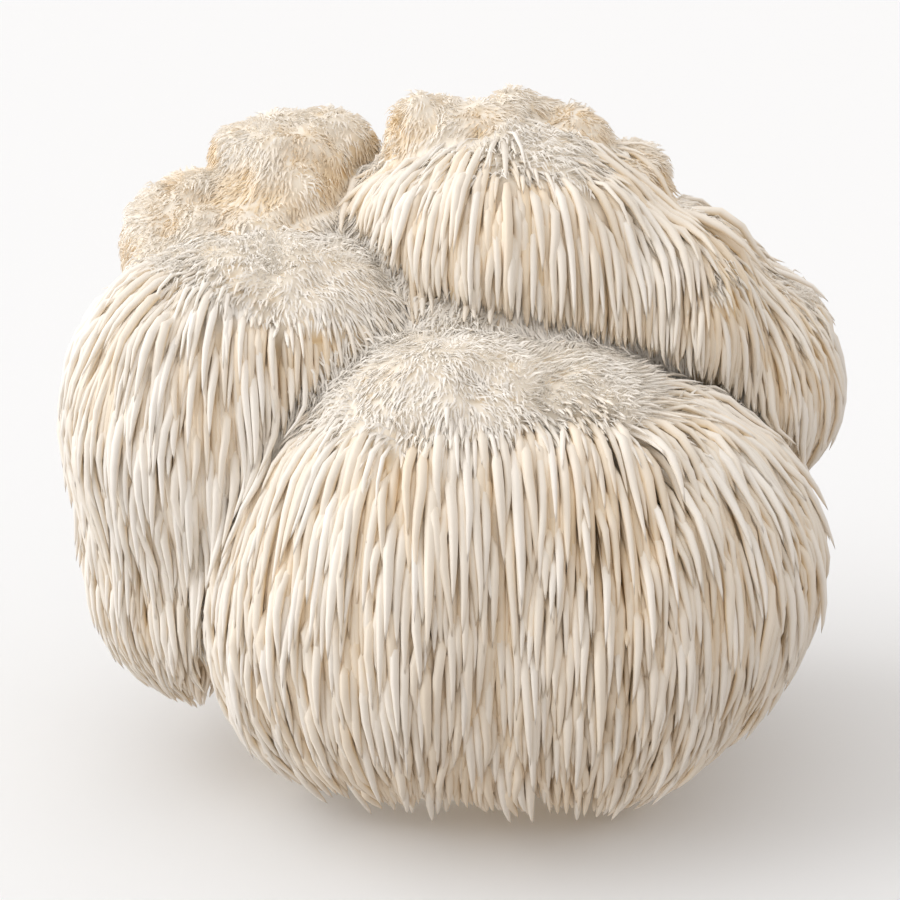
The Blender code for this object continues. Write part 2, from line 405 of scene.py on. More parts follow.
    def openness(
        self, points: np.ndarray, outward: np.ndarray, reach: float = 12.0, least_slope: float = 0.2
    ) -> np.ndarray:
        """Returns how open the space over each place is: 1 on a free side, about 0.5 down in a crease.

        Args:
            points: Places, in millimetres.
            outward: The direction that leads away from the flesh at each.
            reach: How far out the space is measured, in millimetres.
            least_slope: The least growth of the distance in a millimetre that the result is divided by.

        Returns:
            One value a point.
        """
        here = self.distance(points)
        slope = self.distance(points + outward) - here
        return (self.distance(points + outward * reach) - here) / reach / np.maximum(slope, least_slope)

    def _to_own_lobes(self, points: np.ndarray) -> np.ndarray:
        """Returns the distances from each point to the lobes of its nearest mass.

        Args:
            points: Places, in millimetres, as rows of three.

        Returns:
            The distances, as rows of one a lobe, endless for the lobes of other masses.
        """
        distances = self._to_lobes(points, self.middles, self.halves)
        mass = np.column_stack(self._to_masses(distances)).argmin(axis=1)
        return np.where(self.mass_of[None] == mass[:, None], distances, np.inf)

    def nearest_lobe(self, points: np.ndarray) -> np.ndarray:
        """Returns the number of the lobe that each point lies on: the nearest one of the nearest mass."""
        return self._to_own_lobes(points).argmin(axis=1)

    def lobe_shares(self, points: np.ndarray, width: float = 5.0) -> np.ndarray:
        """Returns how much each lobe has to say at each point, so that one lobe's style runs into the next.

        Args:
            points: Places, in millimetres.
            width: Distance over which one lobe takes over from another.

        Returns:
            Shares that add up to one, as rows of one a lobe.
        """
        distances = self._to_own_lobes(points)
        shares = np.exp((distances.min(axis=1, keepdims=True) - distances) / width)
        return shares / shares.sum(axis=1, keepdims=True)


def mesh_from_arrays(
    name: str, vertices: np.ndarray, corners: np.ndarray, sizes: np.ndarray
) -> bpy.types.Mesh:
    """Makes a mesh from arrays.

    Args:
        name: Name of the mesh.
        vertices: Rows of three, in metres.
        corners: The vertex of each face corner, face after face.
        sizes: How many corners each face has.

    Returns:
        The mesh, shaded smooth.
    """
    mesh = bpy.data.meshes.new(name)
    mesh.vertices.add(len(vertices))
    mesh.vertices.foreach_set("co", vertices.astype(np.float32).ravel())
    mesh.loops.add(len(corners))
    mesh.loops.foreach_set("vertex_index", corners.astype(np.int32))
    mesh.polygons.add(len(sizes))
    starts = np.concatenate([[0], np.cumsum(sizes)[:-1]])
    mesh.polygons.foreach_set("loop_start", starts.astype(np.int32))
    mesh.update(calc_edges=True)
    mesh.shade_smooth()
    return mesh


def set_attribute(mesh: bpy.types.Mesh, name: str, values: np.ndarray) -> None:
    """Stores one number a vertex under the name."""
    layer = mesh.attributes.new(name, "FLOAT", "POINT")
    layer.data.foreach_set("value", values.astype(np.float32))


def add_piece(name: str, mesh: bpy.types.Mesh) -> bpy.types.Object:
    """Adds one piece of the mushroom, riding on its body in place of the plain solid.

    Args:
        name: Name of the piece.
        mesh: Its mesh.

    Returns:
        The piece.
    """
    piece = bpy.data.objects.new(name, mesh)
    bpy.context.scene.collection.objects.link(piece)
    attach(piece, BODY)
    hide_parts(NODE)
    return piece


def linear(colour: str) -> tuple[float, float, float, float]:
    """Returns an sRGB hex colour, such as "#ffeedd", as linear red, green, blue and alpha."""
    shares = [int(colour[i:i + 2], 16) / 255 for i in (1, 3, 5)]
    return (*[c / 12.92 if c <= 0.04045 else ((c + 0.055) / 1.055) ** 2.4 for c in shares], 1.0)


def add_node(
    tree: bpy.types.NodeTree, kind: str, settings: dict | None = None, links: dict | None = None
) -> bpy.types.Node:
    """Adds a node with its settings and links.

    Args:
        tree: The node tree.
        kind: The node's type name.
        settings: Values of its properties, or of its inputs by name or number.
        links: The output socket that feeds each input, by name or number.

    Returns:
        The node.
    """
    node = tree.nodes.new(kind)
    for key, value in (settings or {}).items():
        if isinstance(key, int) or key in node.inputs:
            node.inputs[key].default_value = value
        else:
            setattr(node, key, value)
    for key, socket in (links or {}).items():
        tree.links.new(socket, node.inputs[key])
    return node


@dataclass(frozen=True)
class FreshMushroomFlesh:
    """Fresh mushroom flesh, grown from wet threads pressed side by side: soft and waxy.

    Its moist skin gives a broad soft shine with no sharp highlight. Its whites are cream, and where it has
    dried or is bruised it turns tan. The same tan ramp also carries painted shade: deep in the coat, low
    down, in hollows and pits and under spines. Light sinks a millimetre or two into the real flesh, so that
    the gaps between spines look warm; here the hidden side of each spine is painted tan instead, as painted
    shade, because light under the skin of thousands of crossing
    spines comes out grey. Typical values: IOR 1.4, roughness 0.45 to 0.6.

    Attributes:
        name: Name of the material.
        colours: sRGB colours from the whitest flesh to the most tan.
        roughness: Roughness of the skin.
        uneven: How far the roughness varies either way.
        grain: Size of one rougher or smoother patch, in millimetres.
        values: Brightness of the dullest and of the brightest spine.
        ior: How strongly the wet flesh bends light.
        shine: Strength of the highlight.
    """

    name: str
    colours: tuple[str, ...]
    roughness: float = 0.5
    uneven: float = 0.08
    grain: float = 1.2
    values: tuple[float, float] = (0.90, 1.04)
    ior: float = 1.4
    shine: float = 0.4

    def material(self) -> bpy.types.Material:
        """Makes the material.

        Returns:
            A material whose colour follows the tan and shade stored on the mesh.
        """
        material = bpy.data.materials.new(self.name)
        material.use_nodes = True
        tree = material.node_tree
        shader = tree.nodes["Principled BSDF"]
        tan = add_node(tree, "ShaderNodeAttribute", {"attribute_name": "tan"})
        shade = add_node(tree, "ShaderNodeAttribute", {"attribute_name": "shade"})
        ramp = add_node(tree, "ShaderNodeValToRGB", links={"Fac": tan.outputs["Fac"]})
        elements = ramp.color_ramp.elements
        while len(elements) < len(self.colours):
            elements.new(0.5)
        for number, colour in enumerate(self.colours):
            elements[number].position = number / (len(self.colours) - 1)
            elements[number].color = linear(colour)
        value = add_node(
            tree, "ShaderNodeMapRange",
            {"To Min": self.values[0], "To Max": self.values[1]}, {"Value": shade.outputs["Fac"]},
        )
        tint = add_node(
            tree, "ShaderNodeHueSaturation",
            links={"Color": ramp.outputs["Color"], "Value": value.outputs[0]},
        )
        tree.links.new(tint.outputs["Color"], shader.inputs["Base Color"])
        place = add_node(tree, "ShaderNodeTexCoord")
        grain = add_node(
            tree, "ShaderNodeTexNoise", {"Scale": 1 / (self.grain * MM), "Detail": 2.0},
            {"Vector": place.outputs["Object"]},
        )
        rough = add_node(
            tree, "ShaderNodeMapRange",
            {"To Min": self.roughness - self.uneven, "To Max": self.roughness + self.uneven},
            {"Value": grain.outputs["Fac"]},
        )
        tree.links.new(rough.outputs[0], shader.inputs["Roughness"])
        shader.inputs["IOR"].default_value = self.ior
        shader.inputs["Specular IOR Level"].default_value = self.shine
        return material


SPINE_FLESH = FreshMushroomFlesh(
    "spine_flesh", ("#fefbf6", "#faf3e8", "#f6e8d3", "#edd9b6", "#ddbe95")
)
BODY_FLESH = FreshMushroomFlesh(
    "body_flesh", ("#fcf7ee", "#f9f0e1", "#f4e4ca", "#ecd3ab", "#dab88c"), roughness=0.62
)


@dataclass(frozen=True)
class CutMushroomFlesh:
    """Flesh cut across with a knife: matt, spongy and cream, with fine pores and a dried rim.

    The pores take the light in, so the cut looks dull and speckled, and the rim has dried to tan.

    Attributes:
        pore: Spacing of the pores, in millimetres.
        pore_depth: Depth of a pore, in millimetres.
        rim: Width of the dried rim, in millimetres.
        radius: Radius of the cut face, in millimetres.
        flesh: sRGB colour of the flesh between the pores.
        dried: sRGB colour of the dried rim.
        hollow: sRGB colour of the pores.
        roughness: Roughness of the cut.
        ior: How strongly the flesh bends light.
    """

    pore: float = 1.1
    pore_depth: float = 0.3
    rim: float = 5.0
    radius: float = 32.0
    flesh: str = "#f1e2c6"
    dried: str = "#cda772"
    hollow: str = "#d9bf95"
    roughness: float = 0.8
    ior: float = 1.4

    def material(self) -> bpy.types.Material:
        """Makes the material.

        Returns:
            A material with pores and a dried rim round the vertical through the origin.
        """
        material = bpy.data.materials.new("cut_flesh")
        material.use_nodes = True
        tree = material.node_tree
        shader = tree.nodes["Principled BSDF"]
        place = add_node(tree, "ShaderNodeTexCoord")
        flat = add_node(
            tree, "ShaderNodeVectorMath",
            {"operation": "MULTIPLY", 1: (1, 1, 0)}, {0: place.outputs["Object"]},
        )
        far = add_node(tree, "ShaderNodeVectorMath", {"operation": "LENGTH"}, {0: flat.outputs["Vector"]})
        rim = add_node(
            tree, "ShaderNodeMapRange",
            {"From Min": (self.radius - self.rim) * MM, "From Max": self.radius * MM},
            {"Value": far.outputs["Value"]},
        )
        pores = add_node(
            tree, "ShaderNodeTexVoronoi", {"Scale": 1 / (self.pore * MM)}, {"Vector": place.outputs["Object"]}
        )
        depth = add_node(
            tree, "ShaderNodeMapRange",
            {"From Min": 0.1, "From Max": 0.45}, {"Value": pores.outputs["Distance"]},
        )
        spongy = add_node(
            tree, "ShaderNodeMix",
            {"data_type": "RGBA", 6: linear(self.hollow), 7: linear(self.flesh)}, {0: depth.outputs[0]},
        )
        colour = add_node(
            tree, "ShaderNodeMix", {"data_type": "RGBA", 7: linear(self.dried)},
            {0: rim.outputs[0], 6: spongy.outputs[2]},
        )
        tree.links.new(colour.outputs[2], shader.inputs["Base Color"])
        bump = add_node(
            tree, "ShaderNodeBump",
            {"Strength": 0.5, "Distance": self.pore_depth * MM}, {"Height": depth.outputs[0]},
        )
        tree.links.new(bump.outputs["Normal"], shader.inputs["Normal"])
        shader.inputs["Roughness"].default_value = self.roughness
        shader.inputs["IOR"].default_value = self.ior
        return material


@dataclass
class Flesh:
    """The lumpy body under the coat, and the flat cut face it stands on.

    Attributes:
        form: The form that it follows.
        voxel: Size of the grid in which the overlapping lobes become one skin, in millimetres.
        settle_steps: How often the skin is moved onto the form.
        settle_reach: The longest such move, in millimetres.
        foot_rim: Height below which the skin isn't moved, in millimetres.
        flat_below: Height below which the skin is laid flat on the cut, in millimetres.
        tan: How tan open flesh is, from 0 to 1.
        pit_tan: How much more tan it is in a pit, as painted shade.
        spine_shadow_tan: How much more tan it is under hanging spines, as painted shade.
        mesh: The mesh, once it is built.
    """

    form: Form
    voxel: float = 2.4
    settle_steps: int = 3
    settle_reach: float = 1.5
    foot_rim: float = 2.0
    flat_below: float = 0.6
    tan: float = 0.08
    pit_tan: float = 0.4
    spine_shadow_tan: float = 0.4
    mesh: bpy.types.Mesh | None = None

    def _rough_cast(self) -> bpy.types.Mesh:
        """Casts one skin over the lobes and the foot, by remeshing overlapping spheres.

        Returns:
            The mesh of the skin.
        """
        bm = bmesh.new()
        for middle, half in zip(self.form.middles, self.form.halves):
            place = Matrix.Translation(Vector(middle) * MM) @ Matrix.Diagonal((*(Vector(half) * MM), 1))
            bmesh.ops.create_icosphere(bm, subdivisions=4, radius=1, matrix=place)
        height = self.form.foot_height
        top = self.form.foot_radius + self.form.foot_slope * height
        bmesh.ops.create_cone(
            bm, cap_ends=True, segments=96, radius1=self.form.foot_radius * MM, radius2=top * MM,
            depth=height * MM, matrix=Matrix.Translation((0, 0, height / 2 * MM)),
        )
        mesh = bpy.data.meshes.new("rough_cast")
        bm.to_mesh(mesh)
        bm.free()
        cast = bpy.data.objects.new("rough_cast", mesh)
        bpy.context.scene.collection.objects.link(cast)
        skin = cast.modifiers.new("skin", "REMESH")
        skin.mode = "VOXEL"
        skin.voxel_size = self.voxel * MM
        bpy.context.view_layer.update()
        result = bpy.data.meshes.new_from_object(cast.evaluated_get(bpy.context.evaluated_depsgraph_get()))
        bpy.data.objects.remove(cast)
        return result

    def _drop_pockets(self, mesh: bpy.types.Mesh) -> None:
        """Deletes the sealed pockets between the lobes: every shell but the largest.

        Args:
            mesh: The mesh of the skin.
        """
        bm = bmesh.new()
        bm.from_mesh(mesh)
        unseen = set(bm.verts)
        shells = []
        for start in list(bm.verts):
            if start not in unseen:
                continue
            unseen.remove(start)
            shell = [start]
            for vertex in shell:
                fresh = [e.other_vert(vertex) for e in vertex.link_edges if e.other_vert(vertex) in unseen]
                unseen.difference_update(fresh)
                shell += fresh
            shells.append(shell)
        shells.sort(key=len)
        for shell in shells[:-1]:
            bmesh.ops.delete(bm, geom=shell, context="VERTS")
        bm.to_mesh(mesh)
        bm.free()

    def _settle(self, mesh: bpy.types.Mesh) -> np.ndarray:
        """Moves the skin onto the form, raises its lumps and lays its foot flat on the cut.

        Args:
            mesh: The mesh of the skin.

        Returns:
            The places of its vertices, in millimetres.
        """
        points = np.empty(len(mesh.vertices) * 3)
        mesh.vertices.foreach_get("co", points)
        points = points.reshape(-1, 3) / MM
        free = points[:, 2] > self.foot_rim
        for _ in range(self.settle_steps):
            out = self.form.outward(points[free])
            gap = np.clip(self.form.distance(points[free]), -self.settle_reach, self.settle_reach)
            points[free] -= out * gap[:, None]
        out = self.form.outward(points[free])
        points[free] += out * self.form.lump(points[free], out[:, 2])[:, None]
        points[:, 2] = np.where(points[:, 2] < self.flat_below, 0.0, points[:, 2])
        mesh.vertices.foreach_set("co", (points * MM).astype(np.float32).ravel())
        mesh.update()
        mesh.shade_smooth()
        return points

    def _colour(self, mesh: bpy.types.Mesh, points: np.ndarray) -> None:
        """Stores how tan and how bright the flesh is: painted tan and darker in pits and tan under spines,
        all painted shade, and plain on the foot.

        Args:
            mesh: The mesh of the skin.
            points: The places of its vertices, in millimetres.
        """
        up = self.form.outward(points)[:, 2]
        pit = self.form.pits(points)
        on_foot = self.form.on_foot(points)
        # Painted shade: flesh that faces sideways or down, under the hanging spines, is painted tan.
        spine_shadow = np.where(on_foot, 0.1, smoothstep(0.75, 0.35, up))
        tan = self.tan + self.pit_tan * np.where(on_foot, 0.3, 1.0) * pit + self.spine_shadow_tan * spine_shadow
        set_attribute(mesh, "tan", np.clip(tan, 0, 1))
        # Painted shade: the flesh is darker in a pit.
        set_attribute(mesh, "shade", 0.6 - 0.4 * pit)

    def build(self) -> bpy.types.Object:
        """Builds the flesh.

        Returns:
            The piece.
        """
        mesh = self._rough_cast()
        self._drop_pockets(mesh)
        self._colour(mesh, self._settle(mesh))
        mesh.materials.append(BODY_FLESH.material())
        mesh.materials.append(CutMushroomFlesh(radius=self.form.foot_radius).material())
        for face in mesh.polygons:
            if face.center.z < 0.1 * MM:
                face.material_index = 1
                face.use_smooth = False
        self.mesh = mesh
        return add_piece("flesh", mesh)


@dataclass
class Strands:
    """Many spines of one sort as arrays with one entry a spine.

    Attributes:
        root: Where each starts, in millimetres.
        facing: The outward direction there.
        length: Its length, in millimetres.
        radius: Its full radius, in millimetres.
        tan: How tan it is, from 0 to 1.
        shade: How bright it is, from 0 to 1.
        lobe: The number of the lobe that it grows on.
        rank: How far out in the coat it lies, from 0 for the deepest to 1 for the outermost.
        paths: The points of its middle line, in millimetres, once it has grown.
    """

    root: np.ndarray
    facing: np.ndarray
    length: np.ndarray
    radius: np.ndarray
    tan: np.ndarray
    shade: np.ndarray
    lobe: np.ndarray
    rank: np.ndarray
    paths: np.ndarray | None = None

    def __len__(self) -> int:
        """Returns how many spines there are."""
        return len(self.root)


@dataclass(frozen=True)
class SpineShape:
    """The shape of one sort of spine, and how finely it is drawn.

    Attributes:
        sides: Faces round a spine.
        rings: Shares of the length where the rings stand, without the tip.
        spacing: Distance between neighbouring roots, in millimetres.
        steps: Steps in which a spine grows.
        blunt: How late the taper to the tip begins; higher is later.
        waist: Thickness at the root, as a share of the full thickness.
        flat: Thickness across the flesh, as a share of that along it.
    """

    sides: int
    rings: tuple[float, ...]
    spacing: float
    steps: int
    blunt: float
    waist: float
    flat: float

    def thickness(self, shares: np.ndarray) -> np.ndarray:
        """Returns the thickness at the given shares of the length, as a share of the full thickness."""
        neck = self.waist + (1 - self.waist) * np.minimum(shares / 0.25, 1)
        return (1 - shares**self.blunt) ** 0.8 * neck

    def faces(self) -> list[list[int]]:
        """Lists the faces of one spine: its sides, its tip and its closed root.

        Returns:
            The numbers of each face's vertices.
        """
        sides = self.sides
        faces = []
        for low in range(0, (len(self.rings) - 1) * sides, sides):
            for side in range(sides):
                nxt = (side + 1) % sides
                faces.append([low + side, low + nxt, low + sides + nxt, low + sides + side])
        last = (len(self.rings) - 1) * sides
        faces += [[last + side, last + (side + 1) % sides, last + sides] for side in range(sides)]
        faces.append(list(range(sides - 1, -1, -1)))
        return faces


@dataclass(frozen=True)
class Habit:
    """How one sort of spine bends as it grows. All are plain shares of a direction.

    Attributes:
        stand: How much it starts out straight away from the flesh.
        weight: How much it starts out downwards.
        swirl: How much it leans with its neighbours.
        loose: How much it leans by itself.
        stiff: How much of its direction it keeps at each step.
        depth: How deep in the flesh it starts, in millimetres.
        cover: Thickness of the layer that it lies in, in millimetres; deep in it, painted shade makes spines
            tan.
        painted_depth_shade: How tan the painted shade makes a spine at the bottom of that layer.
        response: How far off its height it must be, in millimetres, to steer fully towards it.
        under: How much more tan it is on the side that lies towards the flesh, as painted shade.
    """

    stand: float
    weight: float
    swirl: float
    loose: float
    stiff: float
    depth: float
    cover: float
    painted_depth_shade: float
    response: float
    under: float


HABITS: dict[Growth, Habit] = {
    Growth.SPINE: Habit(0.35, 0.80, 0.10, 0.05, 0.50, 1.2, 4.0, 0.40, 3.0, 0.55),
    Growth.COMB: Habit(0.50, 0.80, 0.30, 0.18, 0.70, 0.6, 3.5, 0.30, 2.0, 0.30),
    Growth.FUZZ: Habit(0.30, 0.45, 0.60, 0.35, 0.65, 0.3, 1.0, 0.40, 0.8, 0.10),
}


@dataclass
class Skin:
    """The skins of many spines as arrays.

    Attributes:
        vertices: The vertices, in millimetres.
        corners: The vertex of each face corner, face after face.
        sizes: How many corners each face has.
        smooth: Whether each face is shaded smooth.
        tan: How tan each vertex is, from 0 to 1.
        shade: How bright each vertex is, from 0 to 1.
        side: On which side of its spine each vertex lies, from -1 to 1.
    """

    vertices: np.ndarray
    corners: np.ndarray
    sizes: np.ndarray
    smooth: np.ndarray
    tan: np.ndarray
    shade: np.ndarray
    side: np.ndarray

    @staticmethod
    def joined(parts: "list[Skin]") -> "Skin":
        """Returns several skins as one.

        Args:
            parts: The skins.

        Returns:
            One skin.
        """
        offsets = np.cumsum([0] + [len(part.vertices) for part in parts[:-1]])
        return Skin(
            np.concatenate([part.vertices for part in parts]),
            np.concatenate([part.corners + offset for part, offset in zip(parts, offsets)]),
            np.concatenate([part.sizes for part in parts]),
            np.concatenate([part.smooth for part in parts]),
            np.concatenate([part.tan for part in parts]),
            np.concatenate([part.shade for part in parts]),
            np.concatenate([part.side for part in parts]),
        )

    def to_mesh(self, name: str) -> bpy.types.Mesh:
        """Makes the mesh, with a flat map in which a place's shade and tan are its two coordinates.

        A colour depends on nothing else, so spines of the same colour can share one spot on the map. The side
        shifts each vertex a little, so that no face is flattened to a line.

        Args:
            name: Name of the mesh.

        Returns:
            The mesh.
        """
        mesh = mesh_from_arrays(name, self.vertices * MM, self.corners, self.sizes)
        mesh.polygons.foreach_set("use_smooth", self.smooth)
        set_attribute(mesh, "tan", self.tan)
        set_attribute(mesh, "shade", self.shade)
        layer = mesh.uv_layers.new(name="OFBake")
        margin, span = 0.03, 0.92
        side = 0.012 * self.side
        across = (margin + span * self.shade + side)[self.corners]
        up = (margin + span * self.tan + np.roll(side, 1))[self.corners]
        layer.uv.foreach_set("vector", np.column_stack([across, up]).astype(np.float32).ravel())
        return mesh


SHAPES: dict[Growth, SpineShape] = {
    Growth.SPINE: SpineShape(6, (0.0, 0.11, 0.24, 0.40, 0.58, 0.76, 0.91), 2.05, 16, 2.7, 0.30, 1.0),
    Growth.COMB: SpineShape(5, (0.0, 0.3, 0.6, 0.84), 1.55, 8, 2.4, 0.7, 0.8),
    Growth.FUZZ: SpineShape(3, (0.0, 0.5), 0.64, 5, 1.8, 0.85, 0.65),
}


@dataclass(frozen=True)
class Zones:
    """Where each sort of spine takes root.

    A facing is 1 for flesh that faces straight up and -1 for flesh that faces down. A crown is 1 where only
    fuzz grows and 0 where spines hang. An openness is 1 on a free side and about 0.5 down in a crease.

    Attributes:
        foot_margin: How far from the foot's side nothing grows, in millimetres.
        lowest: Height below which nothing grows, in millimetres.
        under: Facing below which nothing grows.
        spine_crown: Crown below which spines grow.
        comb_crown: Crowns between which the comb grows.
        fuzz_crown: Crown above which fuzz grows.
        creased: Openness below which flesh lies in a crease, where fuzz grows too.
        crease_facing: Facing above which it does.
        crease_width: How far fuzz spreads from another mass over flesh that has spines, in millimetres.
        valley: Openness below which flesh that faces up lies too deep for spines.
        valley_facing: Facing above which it does.
        edge: Half width of the zone in which spines give way to fuzz, as a change in facing.
        ragged: How far that zone wanders, as a change in facing.
        ragged_size: Size of one such wander, in millimetres.
        rim_depth: How far below a crown the roots of spines stand closer, as a change in facing.
        rim_spacing: Distance between neighbouring roots there, in millimetres.
    """

    foot_margin: float = 3.0
    lowest: float = 6.0
    under: float = -0.85
    spine_crown: float = 0.6
    comb_crown: tuple[float, float] = (0.04, 0.97)
    fuzz_crown: float = 0.2
    creased: float = 0.6
    crease_facing: float = -0.5
    crease_width: float = 7.0
    valley: float = 0.3
    valley_facing: float = 0.25
    edge: float = 0.10
    ragged: float = 0.06
    ragged_size: float = 9.0
    rim_depth: float = 0.3
    rim_spacing: float = 2.0


@dataclass(frozen=True)
class Sizes:
    """How long and thick the spines get, in millimetres or as shares of a lobe's full spine.

    Attributes:
        vary: How much the lengths of neighbours differ.
        wobble: How much their radii differ.
        under: How much shorter spines are on flesh that faces down.
        crease: How much shorter they are deep in a crease.
        crease_openness: Openness between which that fades.
        crown: How much shorter spines are at the edge of a crown.
        comb: Length of the comb, as a share of the spines around it.
        comb_least: What is added to it.
        comb_limits: Its shortest and longest length before it varies.
        fuzz: Length of the shortest fuzz.
        fuzz_rim: How much longer fuzz is where spines begin.
        fuzz_vary: How much longer it is here and there.
        fuzz_on_crest: Length of fuzz on a crest, as a share of that elsewhere.
        fuzz_radius: Radius of the fuzz.
        least_length: Length that nothing is shorter than.
        least_radius: Radius that nothing is thinner than.
    """

    vary: float = 0.2
    wobble: float = 0.10
    under: float = 0.2
    crease: float = 0.5
    crease_openness: tuple[float, float] = (0.35, 0.85)
    crown: float = 0.3
    comb: float = 0.4
    comb_least: float = 5.0
    comb_limits: tuple[float, float] = (3, 14)
    fuzz: float = 2.8
    fuzz_rim: float = 2.6
    fuzz_vary: float = 1.1
    fuzz_on_crest: float = 0.85
    fuzz_radius: float = 0.33
    least_length: float = 1.2
    least_radius: float = 0.18


@dataclass(frozen=True)
class Tints:
    """What makes one spine more tan than another, as amounts from 0 for white to 1 for tan. Hollow, low and
    deep paint shade.

    Attributes:
        hollow: How much more tan the coat is in a hollow between lumps, and whiter on a lump, as painted
            shade and light.
        blotch: How much tan varies from blotch to blotch.
        blotch_size: Size of one blotch, in millimetres.
        own: How much it varies from one spine to the next.
        low: How much more tan the lowest spines are than the high ones, as painted shade towards the bottom.
        low_shade_heights: The heights between which that painted shade grows, in millimetres.
        deep: How much more tan the deepest spines are than the outermost, as painted shade of the inner
            layers.
        outer: How much whiter every spine is than its lobe's tan, so that the outermost, with no painted
            shade, are whiter.
        fuzz: How much whiter the fuzz is.
        crest_fuzz: How much whiter it is on a crest.
    """

    hollow: float = 0.4
    blotch: float = 0.06
    blotch_size: float = 6.0
    own: float = 0.04
    low: float = 0.16
    low_shade_heights: tuple[float, float] = (100.0, 10.0)
    deep: float = 0.30
    outer: float = 0.08
    fuzz: float = 0.32
    crest_fuzz: float = 0.06


@dataclass(frozen=True)
class Settling:
    """How spines that run through one another are pushed apart.

    Attributes:
        rounds: How often they are.
        reach: Size of the cells in which neighbours are looked for, in millimetres.
        ahead: How far ahead or behind along a spine a neighbour still counts, as a share of the reach.
        share: Share of an overlap by which each of two spines moves.
        same_layer: The most by which the cubed ranks of two spines may differ for them to push each other.
        loose_below: The cubed rank below which spines lie as they fall.
        inward: Share of a push towards the flesh that is taken back.
        longest: The longest push in one round, in millimetres.
        smoothings: How often a push is smoothed along the spine.
        root: Share of the length over which the push sets in.
    """

    rounds: int = 6
    reach: float = 3.0
    ahead: float = 0.7
    share: float = 0.35
    same_layer: float = 0.35
    loose_below: float = 0.15
    inward: float = 0.85
    longest: float = 0.8
    smoothings: int = 6
    root: float = 0.25


@dataclass(frozen=True)
class Trimming:
    """Where spines are cut short.

    Attributes:
        slack: How far out of the outer form a tip may hang, in millimetres; each spine has its own.
        kept: Share of a spine that the outer form leaves.
        tip_floor: Height that no tip hangs below, in millimetres.
        floor_vary: How much higher some tips end.
        pinched: How near another mass a spine may come, in millimetres; each spine has its own.
        inner_gap: How much further away spines of the crests and the back end.
        float_gap: How far above its layer a spine may rise, in millimetres.
        under_gap: How much further it may hang free under a lobe.
        kink: Cosine of the sharpest bend over two steps.
        kink_from: Share of the length above which bends are looked at.
        hanging: The drop for each millimetre of length at which a spine counts as hanging.
        level: The drop at which a spine that hung has turned level again.
        stub: Length below which what is left isn't worth drawing, in millimetres.
        least: Share that such a spine keeps, buried in the flesh.
    """

    slack: tuple[float, float] = (-1.5, 3.0)
    kept: float = 0.5
    tip_floor: float = 0.8
    floor_vary: float = 2.0
    pinched: tuple[float, float] = (0.5, 3.0)
    inner_gap: float = 3.5
    float_gap: float = 1.2
    under_gap: float = 6.0
    kink: float = 0.80
    kink_from: float = 0.25
    hanging: float = -0.6
    level: float = -0.12
    stub: float = 4.0
    least: float = 0.05


